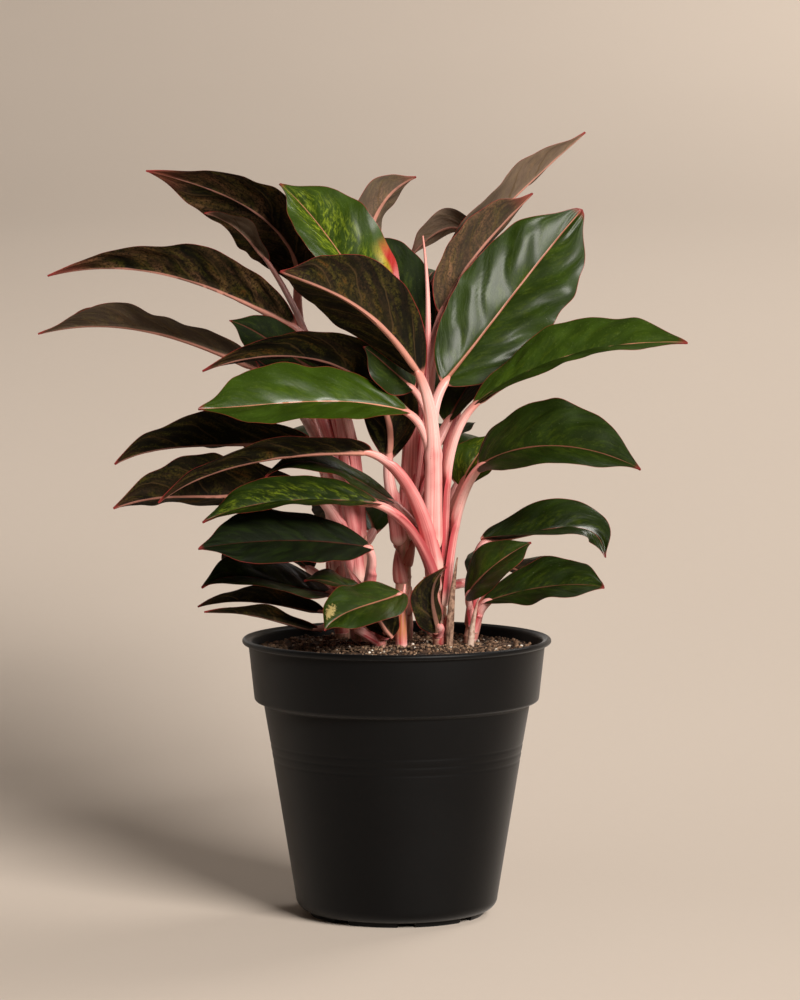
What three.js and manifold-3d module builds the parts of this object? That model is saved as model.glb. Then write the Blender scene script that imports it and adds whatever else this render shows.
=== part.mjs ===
// A potted jungle red aglaonema: leafy stems with pink stalks standing in a filled nursery pot.
// Millimetres, +Z up. The origin is the middle of the pot's foot, on the surface it stands on,
// and the leaves are placed as they are seen by someone standing at -Y.

import * as THREE from "three";
import { mergeVertices } from "three/addons/utils/BufferGeometryUtils.js";
import Module from "manifold-3d";

const wasm = await Module();
wasm.setup();

// Driving dimensions of the pot
const POT_HEIGHT = 171;
const POT_SIDES = 36;
const WALL = 1.8;
const RIM_RADIUS = 95;
const RIM_THICKNESS = 3.6;
const COLLAR_TOP_RADIUS = 91.1;
const COLLAR_BOTTOM_RADIUS = 87.6;
const COLLAR_BOTTOM = 133;
const BODY_TOP_RADIUS = 81.6;
const BODY_TOP = 130;
const BODY_FOOT_RADIUS = 61;
const RING_HEIGHTS = [96, 101, 106];
const RING_HALF_HEIGHT = 1.5;
const RING_DEPTH = 0.7;
const CORNER_RADIUS = 8;
const FOOT_RING_RADIUS = 54;
const FOOT_RING_WIDTH = 5;
const FOOT_HEIGHT = 3;
const FLOOR_THICKNESS = 2.4;
const PAD_RADIUS = 14;
const NOTCH_WIDTH = 11;
const NOTCH_HEIGHT = 2.5;
const NOTCH_COUNT = 8;
const NOTCH_TURN = -83.6;
const DRAIN_RADIUS = 5;
const DRAIN_CIRCLE = 36;
const DRAIN_SIDES = 10;
const FIT_GAP = 0.3;

// Driving dimensions of the soil
const SOIL_EDGE_HEIGHT = 163.5;
const SOIL_MOUND = 3;
const SOIL_RINGS = [1, 0.8, 0.6, 0.4, 0.2, 0];
const LUMP_HEIGHT = 0.8;
const LUMP_LENGTH = 7;
const HOLE_DEPTH = 52;
const HOLE_SIDES = 12;
const HOLE_GAP = 0.45;

// Driving dimensions of the blades. A leaf is broad from BROAD_LEAF mm of width on.
const BLADE_THICKNESS = 0.8;
const BLADE_COLUMNS = [-1, -0.5, 0, 0.5, 1];
const BROAD_LEAF = 42;
const BROAD_STEPS = 8;
const SLIM_STEPS = 6;
const TIP_HALF_WIDTH = 0.5;
const USUAL_WIDEST = 0.45;
const USUAL_FULLNESS = 1.6;
const CURL = 25;
const WAVE_HEIGHT = 1.5;
const WAVE_COUNT = 2;
const WAVE_SHIFT = 0.3;
const KEEL_DEPTH = 1.8;
const KEEL_TAPER = 0.8;

// Driving dimensions of the stalks and canes
const STALK_HALF_WIDTH = 2.4;
const SHEATH_HALF_WIDTH = 5;
const SHEATH_HALF_DEPTH = 4;
const SLIM_STALK = 0.75;
const STALK_SIDES = 5;
const STALK_STEPS = 5;
const STALK_LEAN = 0.4;
const STALK_RISE = 0.38;
const STALK_REACH = 0.3;
const CANE_SIDES = 8;
const CANE_STRAIGHT = 4;
const CANE_FOOT_TAPER = 0.8;
const CANE_CROWN_TAPER = 0.85;

const degrees = Math.PI / 180;
const up = new THREE.Vector3(0, 0, 1);

// Stems. foot is where the cane leaves the soil, crown where it ends among its stalks.
const stems = {
  front: { foot: [27, -8], crown: [23, -5, 222], radius: 6 },
  left: { foot: [-10, -14], crown: [-18, -12, 196], radius: 5 },
  rear_left: { foot: [-22, 14], crown: [-24, 14, 224], radius: 6 },
  middle: { foot: [4, 14], crown: [4, 14, 236], radius: 6 },
  right: { foot: [45, 10], crown: [47, 10, 182], radius: 4.5 },
  rear: { foot: [24, 42], crown: [24, 46, 228], radius: 6 },
  rear_far_left: { foot: [-34, 42], crown: [-38, 48, 208], radius: 5.5 },
};

// Leaves. midrib holds four points that the rib passes through, from the stalk to the tip;
// face is the way the upper side looks; fold is how far each half rises from flat, in degrees,
// as [left, right] seen along the rib; foot is where the stalk leaves its cane. Some leaves also
// say how far along they are widest, how full they are, how many degrees they twist by their tip,
// and the wave of their edges as [height, count, shift].
const leaves = {
  left_1: { stem: "rear_left", foot: [-24, 16, 214], width: 56, face: [0, 60, 80],
    midrib: [[-62, 50, 385], [-72, 52, 418], [-106, 48, 442], [-155, 36, 457]], fold: [8, 0] },
  left_2: { stem: "rear_left", foot: [-24, 18, 218], width: 30, face: [60, 25, 75],
    midrib: [[-79, 38, 400], [-90, 38, 414], [-103, 38, 425], [-119, 38, 431]], fold: [25, 25] },
  left_3: { stem: "rear_left", foot: [-26, 14, 210], width: 54, face: [0, 71, 71], twist: -35,
    midrib: [[-62, 28, 360], [-108, 24, 383], [-158, 16, 397], [-214, 8, 393]], fold: [32, 46] },
  left_4: { stem: "rear_left", foot: [-26, 12, 206], width: 48, face: [0, 5, 99],
    midrib: [[-83, 16, 334], [-133, 8, 355], [-177, 2, 363], [-219, -4, 358]], fold: [42, 38],
    wave: [4, 1.5, 0.2] },
  left_5: { stem: "rear_left", foot: [-22, 16, 220], width: 30, face: [0, -94, 34],
    midrib: [[-46, 17, 332], [-67, 17, 345], [-85, 17, 357], [-103, 17, 365]], fold: [8, 8] },
  left_6: { stem: "rear_far_left", foot: [-38, 48, 200], width: 46, face: [0, 50, 85],
    midrib: [[-59, 50, 313], [-78, 66, 326], [-97, 88, 337], [-117, 112, 347]], fold: [25, 25] },
  left_7: { stem: "middle", foot: [2, 12, 226], width: 54, face: [0, 47, 88],
    midrib: [[-6, -1, 279], [-15, -6, 325], [-59, -14, 345], [-118, -22, 336]], fold: [30, 30] },
  left_8: { stem: "front", foot: [24, -8, 216], width: 56, face: [0, -66, 75], widest: 0.52,
    midrib: [[9, -28, 311], [-35, -48, 319], [-78, -62, 318], [-118, -72, 316]], fold: [32, 27] },
  left_9: { stem: "rear_left", foot: [-24, 10, 202], width: 54, face: [0, 45, 90],
    midrib: [[-52, 5, 292], [-99, -3, 291], [-140, -10, 289], [-172, -16, 279]], fold: [30, 32] },
  left_10: { stem: "rear_left", foot: [-24, 12, 196], width: 58, face: [0, 59, 81],
    midrib: [[-56, -4, 264], [-103, -14, 260], [-138, -22, 260], [-172, -28, 253]], fold: [38, 30] },
  left_11: { stem: "front", foot: [24, -10, 210], width: 47, face: [0, 14, 99],
    midrib: [[-15, -36, 288], [-53, -46, 288], [-101, -54, 280], [-143, -60, 259]], fold: [36, 28] },
  left_12: { stem: "front", foot: [22, -5, 214], width: 32, face: [0, -35, 94],
    midrib: [[0, -6, 254], [-27, -13, 271], [-54, -21, 281], [-80, -30, 272]], fold: [15, 15] },
  left_13: { stem: "front", foot: [25, -10, 200], width: 44, face: [0, -42, 91],
    midrib: [[-9, -36, 256], [-46, -51, 260], [-83, -61, 258], [-116, -69, 248]], fold: [32, 28] },
  left_14: { stem: "left", foot: [-18, -14, 190], width: 52, face: [0, -60, 80], widest: 0.5,
    midrib: [[-14, -32, 229], [-49, -50, 235], [-85, -66, 236], [-118, -78, 233]], fold: [19, 19] },
  left_15: { stem: "left", foot: [-16, -12, 186], width: 44, face: [0, -52, 86],
    midrib: [[-38, -10, 199], [-68, -24, 206], [-94, -34, 212], [-118, -42, 206]], fold: [32, 24] },
  left_16: { stem: "rear_left", foot: [-22, 14, 180], width: 38, face: [0, 30, 95],
    midrib: [[-44, 12, 185], [-74, 6, 192], [-100, 0, 194], [-122, -8, 191]], fold: [30, 25] },
  left_17: { stem: "left", foot: [-12, -14, 176], width: 26, face: [0, 30, 95],
    midrib: [[-46, -8, 176], [-76, -16, 185], [-96, -22, 189], [-117, -28, 190]], fold: [25, 25] },
  left_18: { stem: "left", foot: [-14, -14, 182], width: 26, face: [0, -35, 94],
    midrib: [[-17, -22, 197], [-29, -28, 204], [-42, -33, 209], [-56, -38, 210]], fold: [25, 25] },
  front_1: { stem: "left", foot: [-10, -16, 174], width: 38, face: [0, -70, 70], widest: 0.45,
    midrib: [[4, -40, 203], [-12, -58, 199], [-30, -72, 194], [-43, -80, 184]], fold: [22, 18] },
  front_2: { stem: "front", foot: [27, -10, 172], width: 26, face: [-60, 60, 20],
    midrib: [[24, -24, 176], [22, -28, 188], [21, -31, 203], [30, -34, 218]], fold: [35, 35] },
  front_3: { stem: "left", foot: [-8, -18, 172], width: 24, face: [20, 80, 50],
    midrib: [[-3, -30, 174], [-8, -33, 182], [-14, -36, 191], [-21, -38, 199]], fold: [25, 25] },
  middle_1: { stem: "front", foot: [20, -6, 220], width: 34, face: [0, -80, 60],
    midrib: [[11, -18, 325], [0, -22, 334], [-10, -26, 343], [-20, -30, 351]], fold: [20, 20] },
  right_1: { stem: "front", foot: [25, -4, 220], width: 64, face: [-10, -95, 30],
    widest: 0.54, fullness: 1.3,
    midrib: [[28, 0, 327], [52, 12, 356], [83, 28, 395], [115, 42, 433]], fold: [22, 18] },
  right_2: { stem: "front", foot: [27, -5, 206], width: 50, face: [0, -48, 87], widest: 0.56,
    midrib: [[45, -18, 314], [84, -26, 338], [127, -34, 351], [175, -42, 354]], fold: [36, 34] },
  right_3: { stem: "front", foot: [28, -7, 190], width: 58, face: [0, -72, 70],
    midrib: [[49, -20, 277], [76, -38, 290], [110, -52, 291], [146, -62, 279]], fold: [34, 35] },
  right_4: { stem: "right", foot: [47, 12, 178], width: 44, face: [0, -20, 98], twist: 40,
    midrib: [[52, 10, 231], [83, 20, 234], [114, 28, 236], [129, 24, 218]], fold: [24, 38] },
  right_5: { stem: "right", foot: [46, 8, 176], width: 36, face: [-40, -60, 60],
    midrib: [[42, -4, 196], [52, -14, 210], [66, -18, 222], [82, -14, 231]], fold: [22, 22] },
  right_6: { stem: "right", foot: [46, 10, 172], width: 48, face: [0, -54, 84], widest: 0.55,
    midrib: [[52, 2, 192], [78, -1, 200], [104, -6, 204], [127, -12, 203]], fold: [22, 28] },
  right_7: { stem: "rear", foot: [26, 42, 218], width: 30, face: [-30, -80, 50],
    midrib: [[40, 22, 262], [45, 24, 274], [52, 28, 284], [59, 32, 294]], fold: [20, 20] },
  right_8: { stem: "middle", foot: [6, 14, 232], width: 44, face: [-50, -60, 60],
    midrib: [[31, 28, 301], [44, 38, 324], [61, 50, 349], [80, 62, 376]], fold: [30, 30] },
  right_9: { stem: "rear", foot: [26, 46, 222], width: 34, face: [0, 0, 1],
    midrib: [[24, 60, 284], [30, 78, 292], [36, 96, 295], [42, 116, 294]], fold: [20, 20] },
  top_1: { stem: "middle", foot: [6, 14, 230], width: 60, face: [30, -85, 40],
    midrib: [[-1, 0, 357], [-27, 8, 395], [-49, 18, 425], [-72, 26, 449]], fold: [45, 35] },
  top_2: { stem: "front", foot: [22, -6, 217], width: 58, face: [-20, 80, 55],
    midrib: [[15, -34, 332], [-14, -54, 369], [-42, -68, 387], [-69, -78, 398]], fold: [30, 48] },
  top_3: { stem: "middle", foot: [4, 16, 232], width: 38, face: [10, -98, 10],
    midrib: [[20, 31, 352], [5, 32, 383], [-8, 33, 402], [-22, 34, 416]], fold: [10, 10] },
  top_4: { stem: "rear", foot: [22, 48, 226], width: 32, face: [-40, 70, 50],
    midrib: [[-24, 74, 396], [-16, 82, 424], [-5, 90, 442], [12, 96, 453]], fold: [30, 30] },
  top_5: { stem: "rear", foot: [26, 46, 228], width: 30, face: [0, 50, 85],
    midrib: [[50, 78, 396], [42, 86, 420], [26, 92, 419], [8, 98, 402]], fold: [25, 25] },
  top_6: { stem: "rear", foot: [24, 44, 226], width: 42, face: [-60, 50, 60],
    midrib: [[26, 47, 394], [57, 57, 426], [87, 68, 454], [118, 80, 481]], fold: [38, 20] },
  top_7: { stem: "middle", foot: [6, 14, 226], width: 44, face: [-50, 70, 50],
    midrib: [[27, 24, 368], [42, 30, 397], [62, 38, 421], [84, 46, 443]], fold: [45, 25] },
  back_1: { stem: "rear", foot: [22, 48, 224], width: 56, face: [0, 0, 1],
    midrib: [[8, 66, 300], [4, 106, 322], [-4, 144, 326], [-14, 180, 312]], fold: [28, 28] },
  back_2: { stem: "rear", foot: [26, 46, 214], width: 52, face: [0, 0, 1],
    midrib: [[38, 66, 260], [54, 102, 278], [66, 136, 280], [76, 170, 266]], fold: [28, 28] },
  back_3: { stem: "rear_far_left", foot: [-38, 48, 204], width: 54, face: [0, 0, 1],
    midrib: [[-46, 64, 270], [-66, 100, 286], [-82, 132, 284], [-96, 164, 268]], fold: [28, 28] },
  back_4: { stem: "rear_far_left", foot: [-36, 48, 200], width: 54, face: [0, 0, 1],
    midrib: [[-14, 72, 228], [-22, 106, 242], [-34, 140, 238], [-50, 172, 220]], fold: [28, 28] },
  back_5: { stem: "rear_far_left", foot: [-36, 46, 186], width: 48, face: [0, 0, 1],
    midrib: [[-54, 60, 206], [-74, 92, 216], [-93, 123, 210], [-112, 150, 192]], fold: [28, 28] },
  back_6: { stem: "rear", foot: [24, 44, 190], width: 48, face: [0, 0, 1],
    midrib: [[50, 60, 198], [66, 94, 206], [80, 126, 200], [92, 156, 184]], fold: [28, 28] },
  back_7: { stem: "rear", foot: [22, 48, 228], width: 50, face: [0, 0, 1],
    midrib: [[14, 70, 350], [18, 102, 382], [24, 134, 392], [32, 166, 386]], fold: [28, 28] },
};

// Growths without a blade, each a route of three points with its half width at each of them.
// Those that name no stem stand in the soil by themselves.
const growths = {
  rolled_leaf: { stem: "middle",
    route: [[5, 14, 232], [26, 14, 340], [16, 17, 417]], radii: [3.5, 2.6, 0.5] },
  old_stub: { stem: "left",
    route: [[-11, -15, 170], [-19, -24, 176], [-27, -34, 181]], radii: [3.4, 3, 2.4] },
  dry_sheath: { route: [[32, -16, 160], [32, -16, 192], [37, -19, 222]], radii: [2, 2.2, 0.4] },
  young_shoot: { route: [[45, -6, 160], [45, -6, 177], [50, -6, 195]], radii: [2.4, 2, 0.4] },
};

// Joining and cutting of closed meshes

function solidFrom(geometry) {
  geometry.deleteAttribute("normal");
  geometry.deleteAttribute("uv");
  const merged = mergeVertices(geometry, 1e-4);
  return new wasm.Manifold(new wasm.Mesh({
    numProp: 3,
    vertProperties: new Float32Array(merged.attributes.position.array),
    triVerts: new Uint32Array(merged.index.array),
  }));
}

function geometryFrom(solid) {
  const mesh = solid.getMesh();
  const geometry = new THREE.BufferGeometry();
  geometry.setAttribute("position", new THREE.BufferAttribute(mesh.vertProperties, 3));
  geometry.setIndex(new THREE.BufferAttribute(mesh.triVerts, 1));
  geometry.computeVertexNormals();
  return geometry;
}

// A closed skin over rings of points, with a flat cap at each end
function skinOverRings(rings) {
  const sides = rings[0].length;
  const positions = rings.flat().flatMap((point) => point.toArray());
  const triangles = [];
  for (let i = 0; i < rings.length - 1; i += 1) {
    for (let j = 0; j < sides; j += 1) {
      const a = i * sides + j;
      const b = i * sides + (j + 1) % sides;
      triangles.push(a, b, b + sides, a, b + sides, a + sides);
    }
  }
  const last = (rings.length - 1) * sides;
  for (let j = 1; j < sides - 1; j += 1) {
    triangles.push(0, j + 1, j, last, last + j, last + j + 1);
  }
  const geometry = new THREE.BufferGeometry();
  geometry.setAttribute("position", new THREE.Float32BufferAttribute(positions, 3));
  geometry.setIndex(triangles);
  geometry.computeVertexNormals();
  return geometry;
}

// The cubic curve that passes through four points at even steps
function curveThrough(points) {
  const [start, first, second, end] = points.map((point) => new THREE.Vector3(...point));
  const mix = (a, b, c, d) => new THREE.Vector3()
    .addScaledVector(start, a / 6)
    .addScaledVector(first, b / 6)
    .addScaledVector(second, c / 6)
    .addScaledVector(end, d / 6);
  return new THREE.CubicBezierCurve3(start, mix(-5, 18, -9, 2), mix(2, -9, 18, -5), end);
}

// The part of a direction that stands square to another
function squareTo(direction, axis) {
  return direction.clone().addScaledVector(axis, -direction.dot(axis)).normalize();
}

// Blades

// Half the blade's width at t, from the stalk at 0 to the tip at 1
function bladeHalfWidth(leaf, t) {
  const widest = leaf.widest ?? USUAL_WIDEST;
  const fullness = leaf.fullness ?? USUAL_FULLNESS;
  const rise = (t / widest) ** widest * ((1 - t) / (1 - widest)) ** (1 - widest);
  const narrowest = STALK_HALF_WIDTH * (1 - t) + TIP_HALF_WIDTH * t;
  return Math.max(leaf.width / 2 * rise ** fullness, narrowest);
}

// A point of the blade, across running from -1 at its left edge to 1 at its right one,
// and the way the blade faces there
function bladePoint(leaf, rib, t, across) {
  const along = rib.getTangent(t);
  const face = squareTo(new THREE.Vector3(...leaf.face), along);
  face.applyAxisAngle(along, (leaf.twist ?? 0) * t * degrees);
  const side = new THREE.Vector3().crossVectors(along, face);
  const half = bladeHalfWidth(leaf, t);
  const reach = Math.abs(across);
  const fold = leaf.fold[across < 0 ? 0 : 1] * degrees;
  const curl = CURL * degrees;
  const slope = fold - curl * reach;
  const sideways = half * (Math.sin(fold) - Math.sin(slope)) / curl * Math.sign(across);
  const [height, count, phase] = leaf.wave ?? [WAVE_HEIGHT, WAVE_COUNT, across < 0 ? WAVE_SHIFT : 0];
  const wave = height * Math.sin(2 * Math.PI * (count * t + phase)) * reach ** 2 * Math.sin(Math.PI * t);
  const lift = half * (Math.cos(slope) - Math.cos(fold)) / curl + wave;
  const point = rib.getPoint(t).addScaledVector(side, sideways).addScaledVector(face, lift);
  const tilt = across === 0 ? 0 : slope * Math.sign(across);
  const facing = face.clone().multiplyScalar(Math.cos(tilt)).addScaledVector(side, -Math.sin(tilt));
  return { point, facing };
}

// A thin blade, its two faces split into triangles alike, with a keel under the midrib
function bladeGeometry(leaf) {
  const rib = curveThrough(leaf.midrib);
  const steps = leaf.width >= BROAD_LEAF ? BROAD_STEPS : SLIM_STEPS;
  const positions = [];
  for (let i = 0; i <= steps; i += 1) {
    const t = i / steps;
    const row = BLADE_COLUMNS.map((across) => bladePoint(leaf, rib, t, across));
    for (const { point } of row) {
      positions.push(...point.toArray());
    }
    row.forEach(({ point, facing }, column) => {
      const keel = BLADE_COLUMNS[column] === 0 ? KEEL_DEPTH * (1 - KEEL_TAPER * t) : 0;
      positions.push(...point.clone().addScaledVector(facing, -BLADE_THICKNESS - keel).toArray());
    });
  }
  const count = BLADE_COLUMNS.length;
  const last = count - 1;
  const upper = (i, column) => 2 * count * i + column;
  const lower = (i, column) => upper(i, column) + count;
  const triangles = [];
  const panel = (a, b, c, d) => triangles.push(a, b, c, a, c, d);
  for (let i = 0; i < steps; i += 1) {
    const j = i + 1;
    for (let left = 0; left < last; left += 1) {
      const right = left + 1;
      panel(upper(i, left), upper(i, right), upper(j, right), upper(j, left));
      panel(lower(i, left), lower(j, left), lower(j, right), lower(i, right));
    }
    panel(upper(i, 0), upper(j, 0), lower(j, 0), lower(i, 0));
    panel(upper(i, last), lower(i, last), lower(j, last), upper(j, last));
  }
  for (let left = 0; left < last; left += 1) {
    const right = left + 1;
    panel(upper(0, left), lower(0, left), lower(0, right), upper(0, right));
    panel(upper(steps, left), upper(steps, right), lower(steps, right), lower(steps, left));
  }
  const geometry = new THREE.BufferGeometry();
  geometry.setAttribute("position", new THREE.Float32BufferAttribute(positions, 3));
  geometry.setIndex(triangles);
  geometry.computeVertexNormals();
  return geometry;
}

// Stalks and canes

// The stalk's route from its foot on the cane, upward at first, into the line of the midrib
function stalkCurve(leaf) {
  const rib = curveThrough(leaf.midrib);
  const along = rib.getTangent(0);
  const foot = new THREE.Vector3(...leaf.foot);
  const end = rib.getPoint(0).addScaledVector(along, -FIT_GAP);
  const length = foot.distanceTo(end);
  const start = end.clone().sub(foot).normalize().multiplyScalar(STALK_LEAN).add(up).normalize();
  const rise = foot.clone().addScaledVector(start, length * STALK_RISE);
  const reach = end.clone().addScaledVector(along, -length * STALK_REACH);
  return new THREE.CubicBezierCurve3(foot, rise, reach, end);
}

// A stalk: a thick sheath at its foot, slimmer and round where it meets the blade
function stalkGeometry(leaf) {
  const curve = stalkCurve(leaf);
  const size = leaf.width >= BROAD_LEAF ? 1 : SLIM_STALK;
  let face = new THREE.Vector3(...leaf.face);
  const rings = [];
  for (let i = STALK_STEPS; i >= 0; i -= 1) {
    const t = i / STALK_STEPS;
    const along = curve.getTangent(t);
    face = squareTo(face, along);
    const side = new THREE.Vector3().crossVectors(along, face);
    const sheath = 1 - t;
    const halfWidth = size * (STALK_HALF_WIDTH + (SHEATH_HALF_WIDTH - STALK_HALF_WIDTH) * sheath);
    const halfDepth = size * (STALK_HALF_WIDTH + (SHEATH_HALF_DEPTH - STALK_HALF_WIDTH) * sheath);
    const ring = [];
    for (let j = 0; j < STALK_SIDES; j += 1) {
      const angle = 2 * Math.PI * j / STALK_SIDES;
      ring.push(curve.getPoint(t)
        .addScaledVector(side, halfWidth * Math.cos(angle))
        .addScaledVector(face, halfDepth * Math.sin(angle)));
    }
    rings.push(ring);
  }
  return skinOverRings(rings);
}

// A round cane that stands straight in its hole and leans over above the soil
function caneGeometry(stem) {
  const [x, y] = stem.foot;
  const bottom = SOIL_EDGE_HEIGHT - HOLE_DEPTH + FIT_GAP;
  const leave = SOIL_EDGE_HEIGHT + SOIL_MOUND + CANE_STRAIGHT;
  const crown = new THREE.Vector3(...stem.crown);
  const middle = new THREE.Vector3(x, y, leave).lerp(crown, 0.5);
  const centres = [
    [new THREE.Vector3(x, y, bottom), CANE_FOOT_TAPER],
    [new THREE.Vector3(x, y, leave), 1],
    [middle, 1],
    [crown, CANE_CROWN_TAPER],
  ];
  const rings = centres.map(([centre, scale]) => {
    const ring = [];
    for (let j = 0; j < CANE_SIDES; j += 1) {
      const angle = 2 * Math.PI * j / CANE_SIDES;
      const offset = new THREE.Vector3(Math.cos(angle), Math.sin(angle), 0);
      ring.push(centre.clone().addScaledVector(offset, stem.radius * scale));
    }
    return ring;
  });
  return skinOverRings(rings);
}

// A round growth, such as a leaf still rolled up
function growthGeometry(growth) {
  const route = new THREE.QuadraticBezierCurve3(...growth.route.map((point) => new THREE.Vector3(...point)));
  const frames = route.computeFrenetFrames(STALK_STEPS, false);
  const rings = [];
  for (let i = 0; i <= STALK_STEPS; i += 1) {
    const t = i / STALK_STEPS;
    const [first, second, last] = growth.radii;
    const radius = first * (1 - t) ** 2 + 2 * second * t * (1 - t) + last * t ** 2;
    const ring = [];
    for (let j = 0; j < STALK_SIDES; j += 1) {
      const angle = 2 * Math.PI * j / STALK_SIDES;
      ring.push(route.getPoint(t)
        .addScaledVector(frames.normals[i], radius * Math.cos(angle))
        .addScaledVector(frames.binormals[i], radius * Math.sin(angle)));
    }
    rings.push(ring);
  }
  return skinOverRings(rings);
}

function stemGeometry(name) {
  let solid = solidFrom(caneGeometry(stems[name]));
  for (const growth of Object.values(growths)) {
    if (growth.stem === name) {
      solid = solid.add(solidFrom(growthGeometry(growth)));
    }
  }
  for (const leaf of Object.values(leaves)) {
    if (leaf.stem === name) {
      solid = solid.add(solidFrom(stalkGeometry(leaf)));
    }
  }
  return geometryFrom(solid);
}

// Pot

function potOutline() {
  const bodySlope = (BODY_TOP_RADIUS - BODY_FOOT_RADIUS) / (BODY_TOP - FOOT_HEIGHT);
  const bodyRadius = (z) => BODY_FOOT_RADIUS + (z - FOOT_HEIGHT) * bodySlope;
  const outside = [
    [0, 0],
    [PAD_RADIUS, 0],
    [PAD_RADIUS + 1, FOOT_HEIGHT],
    [FOOT_RING_RADIUS - FOOT_RING_WIDTH, FOOT_HEIGHT],
    [FOOT_RING_RADIUS - FOOT_RING_WIDTH, 0],
    [FOOT_RING_RADIUS, 0],
    [FOOT_RING_RADIUS + 0.5, FOOT_HEIGHT],
  ];
  for (const turn of [30, 60, 90]) {
    const reach = CORNER_RADIUS * Math.sin(turn * degrees);
    const rise = CORNER_RADIUS * (1 - Math.cos(turn * degrees));
    outside.push([bodyRadius(FOOT_HEIGHT + rise) - CORNER_RADIUS + reach, FOOT_HEIGHT + rise]);
  }
  for (const z of RING_HEIGHTS) {
    const [below, above] = [z - RING_HALF_HEIGHT, z + RING_HALF_HEIGHT];
    outside.push([bodyRadius(below), below], [bodyRadius(z) - RING_DEPTH, z], [bodyRadius(above), above]);
  }
  outside.push(
    [BODY_TOP_RADIUS, BODY_TOP],
    [COLLAR_BOTTOM_RADIUS - 1.5, COLLAR_BOTTOM - 1],
    [COLLAR_BOTTOM_RADIUS, COLLAR_BOTTOM + 1],
    [COLLAR_TOP_RADIUS, POT_HEIGHT - RIM_THICKNESS - 1],
    [RIM_RADIUS - 1, POT_HEIGHT - RIM_THICKNESS],
    [RIM_RADIUS, POT_HEIGHT - RIM_THICKNESS / 2],
    [RIM_RADIUS - 1, POT_HEIGHT],
    [COLLAR_TOP_RADIUS - WALL, POT_HEIGHT - 1],
  );
  return outside;
}

// The inside of the wall, from the rim down to the middle of the floor
function potInside() {
  return [
    [COLLAR_TOP_RADIUS - WALL, POT_HEIGHT - RIM_THICKNESS],
    [COLLAR_BOTTOM_RADIUS - WALL, COLLAR_BOTTOM + WALL],
    [BODY_TOP_RADIUS - WALL, BODY_TOP + WALL],
    [BODY_FOOT_RADIUS - WALL, FOOT_HEIGHT + CORNER_RADIUS],
    [BODY_FOOT_RADIUS - CORNER_RADIUS, FOOT_HEIGHT + FLOOR_THICKNESS],
    [0, FOOT_HEIGHT + FLOOR_THICKNESS],
  ];
}

function turned(outline, sides) {
  const points = outline.map(([radius, z]) => new THREE.Vector2(radius, z));
  const geometry = new THREE.LatheGeometry(points, sides);
  geometry.rotateX(Math.PI / 2);
  return geometry;
}

function potGeometry() {
  let solid = solidFrom(turned([...potOutline(), ...potInside()], POT_SIDES));
  for (let i = 0; i < NOTCH_COUNT; i += 1) {
    const turn = (NOTCH_TURN + i * 360 / NOTCH_COUNT) * degrees;
    const notch = new THREE.BoxGeometry(FOOT_RING_WIDTH * 3, NOTCH_WIDTH, NOTCH_HEIGHT * 2);
    notch.translate(FOOT_RING_RADIUS - FOOT_RING_WIDTH / 2, 0, 0);
    notch.rotateZ(turn);
    const drainLength = 3 * (FOOT_HEIGHT + FLOOR_THICKNESS);
    const drain = new THREE.CylinderGeometry(DRAIN_RADIUS, DRAIN_RADIUS, drainLength, DRAIN_SIDES);
    drain.rotateX(Math.PI / 2);
    drain.translate(DRAIN_CIRCLE, 0, 0);
    drain.rotateZ(turn);
    solid = solid.subtract(solidFrom(notch)).subtract(solidFrom(drain));
  }
  return geometryFrom(solid);
}

// Soil: fills the pot to below the rim, with a plain hole for each cane
function soilGeometry() {
  const inside = potInside().slice(1).reverse();
  const wall = inside.map(([radius, z]) => [Math.max(radius - FIT_GAP, 0), z + FIT_GAP]);
  const edge = COLLAR_BOTTOM_RADIUS - WALL - FIT_GAP
    + (SOIL_EDGE_HEIGHT - COLLAR_BOTTOM - WALL) / (POT_HEIGHT - RIM_THICKNESS - COLLAR_BOTTOM - WALL)
    * (COLLAR_TOP_RADIUS - COLLAR_BOTTOM_RADIUS);
  const top = SOIL_RINGS.map((part) => [edge * part, SOIL_EDGE_HEIGHT + SOIL_MOUND * (1 - part ** 2)]);
  const geometry = turned([...wall, ...top], POT_SIDES);
  const places = geometry.attributes.position;
  for (let i = 0; i < places.count; i += 1) {
    const [x, y, z] = [places.getX(i), places.getY(i), places.getZ(i)];
    if (z > SOIL_EDGE_HEIGHT - 1) {
      places.setZ(i, z + LUMP_HEIGHT * Math.sin(x / LUMP_LENGTH) * Math.cos(y / LUMP_LENGTH));
    }
  }
  let solid = solidFrom(geometry);
  const drill = (x, y, radius, bottom) => {
    const length = 2 * (SOIL_EDGE_HEIGHT - bottom);
    const hole = new THREE.CylinderGeometry(radius + HOLE_GAP, radius + HOLE_GAP, length, HOLE_SIDES);
    hole.rotateX(Math.PI / 2);
    hole.translate(x, y, SOIL_EDGE_HEIGHT);
    solid = solid.subtract(solidFrom(hole));
  };
  for (const { foot, radius } of Object.values(stems)) {
    drill(...foot, radius, SOIL_EDGE_HEIGHT - HOLE_DEPTH);
  }
  for (const { stem, route, radii } of Object.values(growths)) {
    if (!stem) {
      const [x, y, z] = route[0];
      drill(x, y, radii[0], z - FIT_GAP);
    }
  }
  return geometryFrom(solid);
}

// Assembly

const plant = new THREE.Group();

function addPiece(name, geometry, color, roughness, metalness) {
  const material = new THREE.MeshStandardMaterial({ color, roughness, metalness });
  const mesh = new THREE.Mesh(geometry, material);
  mesh.name = name;
  plant.add(mesh);
}

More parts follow.
